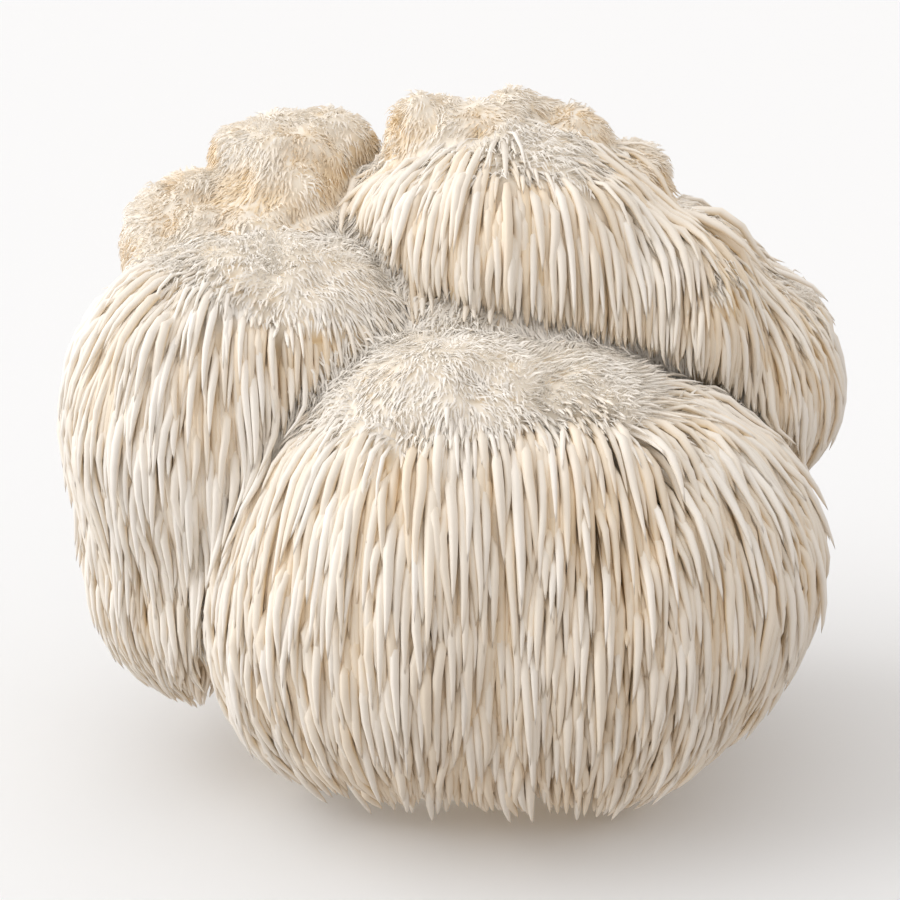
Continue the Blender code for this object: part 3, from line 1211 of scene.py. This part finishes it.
@dataclass
class Coat:
    """The whole coat of spines, comb and fuzz, in one piece a lobe.

    Attributes:
        form: The form of the flesh.
        flesh: The mesh of the flesh, on which the coat takes root.
        seed: Seed of everything random in the growth.
        lift: How far from the flesh the spines come to lie, in millimetres.
        lift_length: Length of the spines that lie that far out, in millimetres; shorter ones lie lower.
        comb_layer: Shares of the lift between which the comb lies.
        fuzz_layer: Heights between which the fuzz lies, in millimetres.
        fuzz_tuft: How strongly fuzz is drawn together, and the width of its tufts in millimetres.
        spine_tuft_width: Width of a tuft of spines, in millimetres.
        zones: Where each sort of spine takes root.
        sizes: How long and thick they get.
        tints: How tan they are.
        settling: How they are pushed apart.
        trimming: Where they are cut short.
        strands: The spines of each sort, once they are sown.
    """

    form: Form
    flesh: bpy.types.Mesh
    seed: int = 11
    lift: float = 5.0
    lift_length: float = 24.0
    comb_layer: tuple[float, float] = (0.25, 0.6)
    fuzz_layer: tuple[float, float] = (0.2, 0.9)
    fuzz_tuft: tuple[float, float] = (0.5, 2.2)
    spine_tuft_width: float = 7.0
    zones: Zones = Zones()
    sizes: Sizes = Sizes()
    tints: Tints = Tints()
    settling: Settling = Settling()
    trimming: Trimming = Trimming()
    strands: dict[Growth, Strands] = field(default_factory=dict)

    def __post_init__(self) -> None:
        """Starts the random draws and the noise, and lines up what the lobes' styles say."""
        self.chance = np.random.default_rng(self.seed)
        self.mottle = Mottle(self.seed + 1)
        styles = [entry.style for entry in LOBES.values()]
        self.style_length = np.array([style.length for style in styles])
        self.style_radius = np.array([style.radius for style in styles])
        self.style_tan = np.array([style.tan for style in styles])
        self.style_tuft = np.array([style.tuft for style in styles])
        self.style_crown = np.array([style.crown for style in styles])

    def _triangles(self) -> np.ndarray:
        """Reads the triangles of the flesh.

        Returns:
            Their corners, in millimetres.
        """
        self.flesh.calc_loop_triangles()
        corners = np.empty(len(self.flesh.loop_triangles) * 3, dtype=np.int32)
        self.flesh.loop_triangles.foreach_get("vertices", corners)
        points = np.empty(len(self.flesh.vertices) * 3)
        self.flesh.vertices.foreach_get("co", points)
        return (points.reshape(-1, 3) / MM)[corners.reshape(-1, 3)]

    def _scatter(self, spacing: float, triangles: np.ndarray) -> tuple[np.ndarray, np.ndarray]:
        """Picks roots on the flesh, no closer together than the spacing.

        Args:
            spacing: Least distance between roots, in millimetres.
            triangles: The triangles on which roots may grow.

        Returns:
            The roots and the outward direction at each.
        """
        tries = 2.6  # random places tried for each square of the spacing, enough to fill the flesh
        edge_a = triangles[:, 1] - triangles[:, 0]
        edge_b = triangles[:, 2] - triangles[:, 0]
        area = np.linalg.norm(np.cross(edge_a, edge_b), axis=1) / 2
        count = int(area.sum() / spacing**2 * tries)
        chosen = self.chance.choice(len(area), count, p=area / area.sum())
        u, v = self.chance.random((2, count))
        flip = u + v > 1
        u = np.where(flip, 1 - u, u)
        v = np.where(flip, 1 - v, v)
        candidates = triangles[chosen, 0] + edge_a[chosen] * u[:, None] + edge_b[chosen] * v[:, None]
        kept = self._far_enough(candidates, spacing)
        normals = unit(np.cross(edge_a, edge_b))[chosen[kept]]
        return candidates[kept], normals

    @staticmethod
    def _far_enough(candidates: np.ndarray, spacing: float) -> list[int]:
        """Returns the numbers of the places that keep the spacing from all that were kept before them.

        Args:
            candidates: Places, in millimetres.
            spacing: Least distance between two that are kept.

        Returns:
            The numbers, in rising order.
        """
        cells = np.floor(candidates / spacing).astype(int).tolist()
        places = candidates.tolist()
        around = [(x, y, z) for x in (-1, 0, 1) for y in (-1, 0, 1) for z in (-1, 0, 1)]
        limit = spacing**2
        taken: dict[tuple[int, int, int], list[int]] = {}
        kept = []
        for number, (cx, cy, cz) in enumerate(cells):
            px, py, pz = places[number]
            near = (
                places[other] for dx, dy, dz in around for other in taken.get((cx + dx, cy + dy, cz + dz), ())
            )
            if all((px - x) ** 2 + (py - y) ** 2 + (pz - z) ** 2 >= limit for x, y, z in near):
                taken.setdefault((cx, cy, cz), []).append(number)
                kept.append(number)
        return kept

    def crownness(self, points: np.ndarray, facing_up: np.ndarray) -> np.ndarray:
        """Returns how much of a crown each place is.

        Args:
            points: Places, in millimetres, as rows of three.
            facing_up: How far the flesh faces up there.

        Returns:
            0 where spines hang, to 1 where there is only fuzz.
        """
        ragged = facing_up + self.zones.ragged * self.mottle.at(points, self.zones.ragged_size)
        rim = self.form.lobe_shares(points) @ self.style_crown
        return smoothstep(-self.zones.edge, self.zones.edge, ragged - rim)

    def _patches(self, triangles: np.ndarray) -> dict[Growth, list[tuple[np.ndarray, float]]]:
        """Finds the patches of flesh on which each sort of spine takes root.

        Args:
            triangles: The triangles of the flesh.

        Returns:
            For each sort, the triangles of each patch and the spacing of the roots there.
        """
        zones = self.zones
        middles = triangles.mean(axis=1)
        outward = self.form.outward(middles, 1.2)
        facing_up = outward[:, 2]
        crown = self.crownness(middles, facing_up)
        far = np.linalg.norm(middles[:, :2], axis=1)
        off_foot = (far > self.form.foot_radius + zones.foot_margin) | (middles[:, 2] > self.form.foot_height)
        bearing = off_foot & (facing_up > zones.under) & (middles[:, 2] > zones.lowest)
        near_rim = facing_up > self.form.lobe_shares(middles) @ self.style_crown - zones.rim_depth
        open_space = self.form.openness(middles, outward)
        own = self.form.mass_of[self.form.nearest_lobe(middles)]
        beside = self.form.to_other_masses(middles, own) < zones.crease_width
        creased = ((open_space < zones.creased) | beside) & (facing_up > zones.crease_facing)
        valley = (open_space < zones.valley) & (facing_up > zones.valley_facing)
        hanging = bearing & (crown < zones.spine_crown) & ~valley
        combed = bearing & (crown > zones.comb_crown[0]) & (crown < zones.comb_crown[1])
        fuzzy = bearing & ((crown > zones.fuzz_crown) | creased)
        return {
            Growth.SPINE: [
                (hanging & near_rim, zones.rim_spacing),
                (hanging & ~near_rim, SHAPES[Growth.SPINE].spacing),
            ],
            Growth.COMB: [(combed, SHAPES[Growth.COMB].spacing)],
            Growth.FUZZ: [(fuzzy, SHAPES[Growth.FUZZ].spacing)],
        }

    def sow(self) -> None:
        """Chooses where every spine grows, and how long, thick and tan it is."""
        triangles = self._triangles()
        for sort, patches in self._patches(triangles).items():
            found = [self._scatter(spacing, triangles[patch]) for patch, spacing in patches]
            roots, facing = (np.concatenate(part) for part in zip(*found))
            if sort is Growth.FUZZ:
                free = self.form.pits(roots) < 0.5
                roots, facing = roots[free], facing[free]
            self.strands[sort] = self._describe(sort, roots, facing)

    def _describe(self, sort: Growth, roots: np.ndarray, facing: np.ndarray) -> Strands:
        """Gives every spine of one sort its size and colour.

        Args:
            sort: The sort of spine.
            roots: Where they start.
            facing: The outward direction there.

        Returns:
            The spines, without their paths.
        """
        count = len(roots)
        outward = self.form.outward(roots)
        vary = self.chance.normal(0, 1, count)
        wobble = self.chance.normal(0, 1, count)
        rank = self.chance.random(count)
        length, radius = self._sizes_of(sort, roots, outward, vary, wobble)
        tan = self._tan_of(sort, roots, outward, wobble, rank)
        blotch = self.mottle.at(roots, self.tints.blotch_size)
        shade = np.clip(0.5 + 0.2 * vary + 0.1 * blotch, 0, 1)
        return Strands(roots, facing, length, radius, tan, shade, self.form.nearest_lobe(roots), rank)

    def _sizes_of(
        self, sort: Growth, roots: np.ndarray, outward: np.ndarray, vary: np.ndarray, wobble: np.ndarray
    ) -> tuple[np.ndarray, np.ndarray]:
        """Works out how long and thick the spines of one sort are.

        Args:
            sort: The sort of spine.
            roots: Where they start.
            outward: The direction that leads away from the flesh there.
            vary: A random number for each, for its length.
            wobble: Another, for its radius.

        Returns:
            Their lengths and radii, in millimetres.
        """
        sizes = self.sizes
        shares = self.form.lobe_shares(roots)
        crown = self.crownness(roots, outward[:, 2])
        under = smoothstep(0.0, -0.7, outward[:, 2])
        side = shares @ self.style_length * (1 + sizes.vary * vary) * (1 - sizes.under * under)
        free = smoothstep(*sizes.crease_openness, self.form.openness(roots, outward))
        side *= sizes.crease + (1 - sizes.crease) * free
        if sort is Growth.SPINE:
            length = side * (1 - sizes.crown * crown)
            slim = np.clip(0.5 + length / 50, 0, 1.05)  # short spines are slimmer
            radius = shares @ self.style_radius * (1 + sizes.wobble * wobble) * slim
        elif sort is Growth.COMB:
            length = np.clip(side * sizes.comb * (1 - crown) + sizes.comb_least, *sizes.comb_limits)
            length = length * (1 + 0.15 * vary)
            radius = (0.30 + 0.024 * length) * (1 + 0.12 * wobble)
        else:
            on_crest = self.form.crest[self.form.nearest_lobe(roots)]
            length = sizes.fuzz + sizes.fuzz_rim * (1 - crown) + sizes.fuzz_vary * np.abs(vary)
            length = length * np.where(on_crest, sizes.fuzz_on_crest, 1)
            radius = sizes.fuzz_radius * (1 + 0.2 * wobble)
        return np.maximum(length, sizes.least_length), np.maximum(radius, sizes.least_radius)

    def _tan_of(
        self, sort: Growth, roots: np.ndarray, outward: np.ndarray, wobble: np.ndarray, rank: np.ndarray
    ) -> np.ndarray:
        """Works out how tan the spines of one sort are.

        Args:
            sort: The sort of spine.
            roots: Where they start.
            outward: The direction that leads away from the flesh there.
            wobble: A random number for each.
            rank: How far out in the coat each lies.

        Returns:
            Their tan, from 0 for white to 1 for tan, with some beyond either end.
        """
        tints = self.tints
        blotch = self.mottle.at(roots, tints.blotch_size)
        swell = self.form.lump(roots, outward[:, 2])
        # Painted shade and light: spines in a hollow between lumps are painted more tan, and those on a lump
        # whiter.
        hollow = np.clip(-swell / self.form.crest_lump_height, -0.5, 1)
        tan = self.form.lobe_shares(roots) @ self.style_tan + tints.hollow * hollow
        tan = tan + tints.blotch * blotch + tints.own * wobble
        # Painted shade: spines are painted more tan towards the bottom.
        tan += tints.low * smoothstep(*tints.low_shade_heights, roots[:, 2])
        if sort is Growth.SPINE:
            # Painted shade: the deeper a spine lies in the coat, the more tan it is painted.
            tan += tints.deep * (1 - rank**3) - tints.outer
        if sort is Growth.FUZZ:
            on_crest = self.form.crest[self.form.nearest_lobe(roots)]
            tan = tan - np.where(on_crest, tints.crest_fuzz, tints.fuzz)
        return tan

    def grow(self, sort: Growth) -> None:
        """Grows the paths of one sort of spine, step by step.

        Args:
            sort: The sort of spine.
        """
        strands = self.strands[sort]
        habit = HABITS[sort]
        steps = SHAPES[sort].steps
        step = (strands.length / steps)[:, None]
        point = strands.root - strands.facing * habit.depth
        sway = unit(self.chance.normal(0, 1, point.shape))
        heading = self._first_heading(strands, habit, sway)
        lift = self._layer(sort)
        own = self.form.mass_of[strands.lobe]
        paths = [point]
        clear = [self.form.to_other_masses(point, own)]
        for number in range(steps):
            share = (number + 1) / steps
            height = strands.radius * 0.6 + lift * share**0.85
            wish = self._wish(point, height, habit, sway)
            heading = unit(heading * habit.stiff + wish * (1 - habit.stiff))
            point = point + heading * step
            paths.append(point)
            clear.append(self.form.to_other_masses(point, own))
        strands.paths = np.stack(paths, axis=1)
        if sort is Growth.FUZZ:
            strength, width = self.fuzz_tuft
            self._draw_together(strands, np.full(len(strands), strength), width)
        if sort is Growth.SPINE:
            self._draw_together(strands, self.style_tuft[strands.lobe], self.spine_tuft_width)
            for _ in range(self.settling.rounds):
                self._push_apart(strands)
        if sort is not Growth.FUZZ:
            self._trim(strands, np.stack(clear, axis=1))

    def _first_heading(self, strands: Strands, habit: Habit, sway: np.ndarray) -> np.ndarray:
        """Returns the directions in which the spines leave the flesh.

        Args:
            strands: The spines.
            habit: How they bend.
            sway: A random direction for each.

        Returns:
            Unit directions.
        """
        lean = flattened(DOWN[None], strands.facing) * habit.weight
        lean += flattened(self._swirl(strands.root), strands.facing) * habit.swirl
        lean += flattened(sway, strands.facing) * habit.loose
        return unit(strands.facing * habit.stand + lean)

    def _wish(self, point: np.ndarray, height: np.ndarray, habit: Habit, sway: np.ndarray) -> np.ndarray:
        """Returns the directions in which growing tips would turn if they weren't stiff.

        They run down along flesh that faces up, fall more freely on upright flesh, and keep to their height.

        Args:
            point: Where the tips are, in millimetres.
            height: How far from the flesh each should lie.
            habit: How the spines bend.
            sway: A random direction for each.

        Returns:
            Unit directions.
        """
        away = self.form.outward(point)
        gap = self.form.distance(point)
        gap -= self.form.lump(point - away * gap[:, None], away[:, 2])
        along = flattened(DOWN[None], away)
        along = along / np.maximum(np.linalg.norm(along, axis=1, keepdims=True), 0.25)
        rise = np.clip((height - gap) / habit.response, -0.35, 0.9)[:, None]
        cling = np.where(away[:, 2] > 0, 0.12 + 0.63 * smoothstep(0.25, 0.75, away[:, 2]), 0.35)[:, None]
        drift = sway * habit.loose * 0.35
        return unit(along * cling + DOWN * (1 - cling) + away * rise + drift)

    def _layer(self, sort: Growth) -> np.ndarray:
        """Chooses how far from the flesh the spines of one sort come to lie.

        Args:
            sort: The sort of spine.

        Returns:
            One height a spine, in millimetres.
        """
        strands = self.strands[sort]
        if sort is Growth.COMB:
            return self.lift * self.chance.uniform(*self.comb_layer, len(strands))
        if sort is Growth.FUZZ:
            return self.chance.uniform(*self.fuzz_layer, len(strands))
        return self._lift(strands)

    def _lift(self, strands: Strands) -> np.ndarray:
        """Returns how far from the flesh a spine lies that has each one's rank and length.

        Args:
            strands: The spines.

        Returns:
            One height a spine, in millimetres.
        """
        of_rank = 0.25 + 0.85 * strands.rank**3
        of_length = np.clip(strands.length / self.lift_length, 0.15, 1)
        return self.lift * of_rank * of_length

    def _swirl(self, points: np.ndarray) -> np.ndarray:
        """Returns slow random directions, so that neighbouring fuzz leans the same way."""
        turns = [self.mottle.at(points + offset, 8.0) for offset in (0.0, 71.0, 143.0)]
        return unit(np.column_stack(turns))

    def _draw_together(self, strands: Strands, strength: np.ndarray, tuft_width: float) -> None:
        """Draws the lower parts of neighbouring spines towards one of them, so that they hang in tufts.

        Args:
            strands: The spines.
            strength: How strongly each is drawn, from 0 to 1.
            tuft_width: Width of a tuft, in millimetres.
        """
        cells = np.floor((strands.root + 500) / tuft_width).astype(int)
        keys = cells[:, 0] * 1000003 + cells[:, 1] * 1009 + cells[:, 2]  # one number a cell
        leaders: dict[int, int] = {}
        leader = np.array([leaders.setdefault(key, number) for number, key in enumerate(keys.tolist())])
        pull = strength * self.chance.uniform(0.4, 1.0, len(strands))
        share = np.linspace(0, 1, strands.paths.shape[1])
        shift = strands.paths[leader] - strands.paths
        strands.paths = strands.paths + shift * (pull[:, None] * share**2.2)[:, :, None]

    def _pairs(self, point: np.ndarray) -> Iterator[tuple[np.ndarray, np.ndarray]]:
        """Yields pairs of points that lie in neighbouring cells, in one direction after another.

        Args:
            point: The points, in millimetres.

        Yields:
            The numbers of the one point and of the other of each pair.
        """
        cell = np.floor(point / self.settling.reach).astype(np.int64) + 500
        key = (cell[:, 0] * 1000 + cell[:, 1]) * 1000 + cell[:, 2]
        order = np.argsort(key)
        ranked = key[order]
        for shift in [(x * 1000 + y) * 1000 + z for x in (-1, 0, 1) for y in (-1, 0, 1) for z in (-1, 0, 1)]:
            low = np.searchsorted(ranked, key + shift, "left")
            found = np.searchsorted(ranked, key + shift, "right") - low
            one = np.repeat(np.arange(len(point)), found)
            within = np.arange(len(one)) - np.repeat(np.cumsum(found) - found, found)
            yield one, order[np.repeat(low, found) + within]

    def _push_apart(self, strands: Strands) -> None:
        """Pushes spines that run through one another sideways and outwards, so that they lie side by side.

        Every second point of each path is compared with its neighbours, and those between move along.

        Args:
            strands: The spines.
        """
        settling = self.settling
        shape = SHAPES[Growth.SPINE]
        count, steps, _ = strands.paths.shape
        share = np.linspace(0, 1, steps)
        point = strands.paths[:, ::2].reshape(-1, 3)
        along = unit(np.gradient(strands.paths, axis=1))[:, ::2].reshape(-1, 3)
        radius = (strands.radius[:, None] * shape.thickness(share)[None, ::2]).ravel()
        owner = np.repeat(np.arange(count), point.shape[0] // count)
        layer = (strands.rank**3)[owner]
        away = self.form.outward(point)
        push = np.zeros_like(point)
        for one, other in self._pairs(point):
            gap = point[one] - point[other]
            ahead = (gap * along[one]).sum(axis=1)
            gap -= along[one] * ahead[:, None]
            width = np.linalg.norm(gap, axis=1)
            overlap = (radius[one] + radius[other]) - width
            level = np.abs(ahead) < settling.reach * settling.ahead
            touching = (owner[one] != owner[other]) & level & (overlap > 0)
            same_layer = np.abs(layer[one] - layer[other]) < settling.same_layer
            touching &= same_layer & (layer[one] > settling.loose_below)
            one, gap, width, overlap = one[touching], gap[touching], width[touching], overlap[touching]
            move = gap / np.maximum(width, 0.05)[:, None] * (overlap * settling.share)[:, None]
            for axis in range(3):
                push[:, axis] += np.bincount(one, move[:, axis], len(point))
        inward = np.minimum((push * away).sum(axis=1, keepdims=True), 0)
        push -= away * inward * settling.inward
        size = np.linalg.norm(push, axis=1, keepdims=True)
        push *= np.minimum(1, settling.longest / np.maximum(size, 1e-6))
        push = push.reshape(count, -1, 3)
        spread = np.zeros_like(strands.paths)
        spread[:, ::2] = push
        spread[:, 1:-1:2] = (push[:, :-1] + push[:, 1:]) / 2
        for _ in range(settling.smoothings):
            spread[:, 1:-1] = (spread[:, :-2] + 2 * spread[:, 1:-1] + spread[:, 2:]) / 4
        strands.paths = strands.paths + spread * smoothstep(0.0, settling.root, share)[None, :, None]

    def _kept_share(self, strands: Strands, clear: np.ndarray) -> np.ndarray:
        """Works out how much of each spine is kept.

        Args:
            strands: The spines.
            clear: The distance to the nearest other mass, at each step of each spine.

        Returns:
            A share of each spine's length.
        """
        rule = self.trimming
        count, steps, _ = strands.paths.shape
        share = np.linspace(0, 1, steps)
        flat = strands.paths.reshape(-1, 3)
        slack = self.chance.uniform(*rule.slack, count)
        up = self.form.outward(flat)[:, 2].reshape(count, steps)
        outside = (self.form.reach(flat).reshape(count, steps) > slack[:, None]) & (up < 0.1)
        floor = rule.tip_floor + self.chance.uniform(0, rule.floor_vary, count)
        low = strands.paths[:, :, 2] < floor[:, None]
        inner = np.isin(self.form.mass_of[strands.lobe], self.form.inner)
        near = self.chance.uniform(*rule.pinched, count) + rule.inner_gap * inner
        pinched = clear < near[:, None]
        height = self.form.distance(flat).reshape(count, steps)
        free_hang = rule.under_gap * smoothstep(0.15, -0.4, up)
        floating = height > self._lift(strands)[:, None] + rule.float_gap + free_hang
        heading = unit(np.gradient(strands.paths, axis=1))
        bend = np.ones((count, steps))
        bend[:, 2:] = (heading[:, 2:] * heading[:, :-2]).sum(axis=2)
        kinked = (bend < rule.kink) & (share > rule.kink_from)
        drop = np.gradient(strands.paths[:, :, 2], axis=1) / (strands.length / (steps - 1))[:, None]
        turned = (np.minimum.accumulate(drop, axis=1) < rule.hanging) & (drop > rule.level)
        kept = np.where(outside, share, 1.0).min(axis=1).clip(rule.kept, 1)
        for blocked in (low, pinched, floating, turned, kinked):
            kept = np.minimum(kept, np.where(blocked, share - 1 / (steps - 1), 1.0).min(axis=1))
        return np.where(strands.length * kept < rule.stub, rule.least, kept.clip(rule.least, 1))

    def _trim(self, strands: Strands, clear: np.ndarray) -> None:
        """Shortens the spines that would hang out of the outer form, into another mass or through the floor.

        Args:
            strands: The spines.
            clear: The distance to the nearest other mass, at each step of each spine.
        """
        count, steps, _ = strands.paths.shape
        kept = self._kept_share(strands, clear)
        strands.radius = np.minimum(strands.radius, 0.1 + 0.09 * kept * strands.length)
        wanted = np.linspace(0, 1, steps)[None] * kept[:, None] * (steps - 1)
        index = np.minimum(wanted.astype(int), steps - 2)
        part = (wanted - index)[:, :, None]
        rows = np.arange(count)[:, None]
        strands.paths = strands.paths[rows, index] * (1 - part) + strands.paths[rows, index + 1] * part

    def _rings(
        self, shape: SpineShape, line: np.ndarray, thick: np.ndarray, facing: np.ndarray
    ) -> tuple[np.ndarray, np.ndarray]:
        """Works out the rings of vertices round the middle lines of some spines.

        Args:
            shape: The shape of the spines.
            line: The points of each middle line, one a ring and one for the tip.
            thick: The radius of each spine at each of them.
            facing: The outward direction at each root.

        Returns:
            How far each vertex stands from its middle line, and the angle of each side.
        """
        along = unit(np.gradient(line, axis=1))
        aside = -facing
        angles = np.arange(shape.sides) * (2 * math.pi / shape.sides)
        rings = []
        for ring in range(len(shape.rings)):
            here = along[:, ring]
            aside = unit(aside - here * (aside * here).sum(axis=1, keepdims=True))
            across = np.cross(here, aside)
            inward = aside[:, None] * (np.cos(angles) * shape.flat)[:, None]
            sideways = across[:, None] * np.sin(angles)[:, None]
            rings.append((inward + sideways) * thick[:, ring, None, None])
        round_line = np.stack(rings, axis=1).reshape(len(line), -1, 3)
        return np.concatenate([round_line, np.zeros((len(line), 1, 3))], axis=1), angles

    def _skin(self, sort: Growth, chosen: np.ndarray) -> Skin:
        """Makes the skins of some spines of one sort.

        Args:
            sort: The sort of spine.
            chosen: The numbers of the spines.

        Returns:
            Their skins, joined.
        """
        shape = SHAPES[sort]
        habit = HABITS[sort]
        strands = self.strands[sort]
        paths = strands.paths[chosen]
        count, steps, _ = paths.shape
        shares = np.array([*shape.rings, 1.0])
        wanted = shares * (steps - 1)
        index = np.minimum(wanted.astype(int), steps - 2)
        part = (wanted - index)[None, :, None]
        line = paths[:, index] * (1 - part) + paths[:, index + 1] * part
        thick = strands.radius[chosen][:, None] * shape.thickness(shares)[None]
        offsets, angles = self._rings(shape, line, thick, strands.facing[chosen])
        of_ring = np.append(np.repeat(np.arange(len(shape.rings)), shape.sides), len(shape.rings))
        vertices = line[:, of_ring] + offsets
        away = self.form.outward(line.reshape(-1, 3)).reshape(line.shape)[:, of_ring]
        gap = self.form.distance(line.reshape(-1, 3)).reshape(line.shape[:2])[:, of_ring]
        outwards = (offsets * away).sum(axis=2)
        # Painted shade: parts of a spine that lie deep in the coat, near the flesh, are painted tan, less so
        # where the flesh faces up.
        buried = 1 - np.clip((gap + outwards) / habit.cover, 0, 1)
        painted_depth_shade = habit.painted_depth_shade * (1 - 0.8 * smoothstep(0.2, 0.7, away[:, :, 2]))
        # Painted shade: the side of each spine that faces the flesh is painted more tan, in place of warm
        # light under the skin.
        turned_in = -outwards / np.maximum(thick.max(axis=1), 0.1)[:, None]
        hidden = habit.under * smoothstep(-0.3, 0.8, turned_in)
        tan = strands.tan[chosen][:, None] + painted_depth_shade * buried**1.5 + hidden
        per = vertices.shape[1]
        faces = shape.faces()
        corners = (np.concatenate(faces)[None] + (np.arange(count) * per)[:, None]).ravel()
        return Skin(
            vertices.reshape(-1, 3),
            corners,
            np.tile([len(face) for face in faces], count),
            np.full(len(faces) * count, sort is not Growth.FUZZ),  # smooth three-sided fuzz would look grey
            tan.clip(0, 1).ravel(),
            np.repeat(strands.shade[chosen], per),
            np.tile(np.append(np.tile(np.cos(angles), len(shape.rings)), 0.0), count),
        )

    def build(self) -> list[bpy.types.Object]:
        """Grows the coat and makes one piece for each lobe that has one.

        Returns:
            The pieces.
        """
        self.sow()
        for sort in Growth:
            self.grow(sort)
            log.info("%s: %d grown", sort.value, len(self.strands[sort]))
        material = SPINE_FLESH.material()
        pieces = []
        for number, name in enumerate(LOBES):
            parts = []
            for sort in Growth:
                chosen = np.flatnonzero(self.strands[sort].lobe == number)
                if len(chosen):
                    parts.append(self._skin(sort, chosen))
            if parts:
                mesh = Skin.joined(parts).to_mesh(f"coat_{name}")
                mesh.materials.append(material)
                pieces.append(add_piece(f"coat_{name}", mesh))
        return pieces


@dataclass
class Studio:
    """The pale floor, the soft lights and the camera.

    Attributes:
        azimuth: How far round the camera stands from the front, in degrees.
        elevation: How far above level it stands, in degrees.
        distance: How far it stands from its target, in metres.
        target: The place that it looks at, in metres.
        lens: Its focal length, in millimetres.
        sensor: Width of its sensor, in millimetres.
        floor_half: Half the width of the floor, in metres.
    """

    azimuth: float = 0.0
    elevation: float = 18.0
    distance: float = 0.566
    target: Vec3 = (0.0, -0.008, 0.076)
    lens: float = 100.0
    sensor: float = 36.0
    floor_half: float = 3.0

    def build(self) -> None:
        """Adds the floor, the lights, the surroundings and the camera."""
        self._floor()
        self._lights()
        self._surroundings()
        self._camera()
        bpy.context.scene.view_settings.view_transform = "Standard"

    def _floor(self) -> None:
        """Adds a plain pale floor, which throws no light back up at the mushroom."""
        bm = bmesh.new()
        bmesh.ops.create_grid(bm, x_segments=1, y_segments=1, size=self.floor_half)
        mesh = bpy.data.meshes.new("floor")
        bm.to_mesh(mesh)
        bm.free()
        floor = bpy.data.objects.new("floor", mesh)
        bpy.context.scene.collection.objects.link(floor)
        material = bpy.data.materials.new("pale_floor")
        material.use_nodes = True
        shader = material.node_tree.nodes["Principled BSDF"]
        shader.inputs["Base Color"].default_value = linear("#f0f4f9")
        shader.inputs["Roughness"].default_value = 0.9
        mesh.materials.append(material)
        floor.visible_diffuse = False

    def _sun(self, name: str, source: Vec3, strength: float, softness: float, colour: str) -> None:
        """Adds one broad soft light that shines from the source towards the mushroom.

        Args:
            name: Name of the light.
            source: A point in the direction that the light comes from.
            strength: Its strength.
            softness: The angle that it fills, in degrees.
            colour: Its sRGB colour.
        """
        data = bpy.data.lights.new(name, "SUN")
        data.energy = strength
        data.angle = math.radians(softness)
        data.color = linear(colour)[:3]
        light = bpy.data.objects.new(name, data)
        light.rotation_euler = Vector(source).to_track_quat("Z", "Y").to_euler()
        bpy.context.scene.collection.objects.link(light)

    def _lights(self) -> None:
        """Adds the key light at the upper left, a broad one overhead, as from a tent, and one at the left."""
        self._sun("key", (-0.80, -0.04, 0.60), 0.92, 60, "#fffefc")
        self._sun("tent", (-0.06, 0.02, 0.98), 1.31, 150, "#fffefc")
        self._sun("side", (-1.0, -0.16, -0.20), 1.58, 90, "#fffefc")

    def _surroundings(self) -> None:
        """Lights the scene evenly from all round."""
        world = bpy.data.worlds.new("studio")
        world.use_nodes = True
        backdrop = world.node_tree.nodes["Background"]
        backdrop.inputs["Color"].default_value = linear("#fff4ea")
        backdrop.inputs["Strength"].default_value = 0.47
        bpy.context.scene.world = world

    def _camera(self) -> None:
        """Adds the camera at the photograph's viewing angle."""
        turn = math.radians(self.azimuth)
        rise = math.radians(self.elevation)
        forward = Vector((math.sin(turn) * math.cos(rise), math.cos(turn) * math.cos(rise), -math.sin(rise)))
        data = bpy.data.cameras.new("camera")
        data.lens = self.lens
        data.sensor_width = self.sensor
        camera = bpy.data.objects.new("camera", data)
        camera.location = Vector(self.target) - forward * self.distance
        camera.rotation_euler = forward.to_track_quat("-Z", "Y").to_euler()
        bpy.context.scene.collection.objects.link(camera)
        bpy.context.scene.camera = camera


def count_triangles(piece: bpy.types.Object) -> int:
    """Returns how many triangles the piece's mesh has."""
    return sum(len(face.vertices) - 2 for face in piece.data.polygons)


def main() -> None:
    """Builds the stage and the mushroom, and reports each piece."""
    logging.basicConfig(level=logging.INFO, format="%(message)s")
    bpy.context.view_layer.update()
    Studio().build()
    form = Form()
    flesh = Flesh(form)
    pieces = [flesh.build()]
    pieces += Coat(form, flesh.mesh).build()
    total = 0
    for piece in pieces:
        count = count_triangles(piece)
        total += count
        log.info("%s: %d triangles", piece.name, count)
    log.info("all pieces: %d triangles", total)


if __name__ == "__main__":
    main()
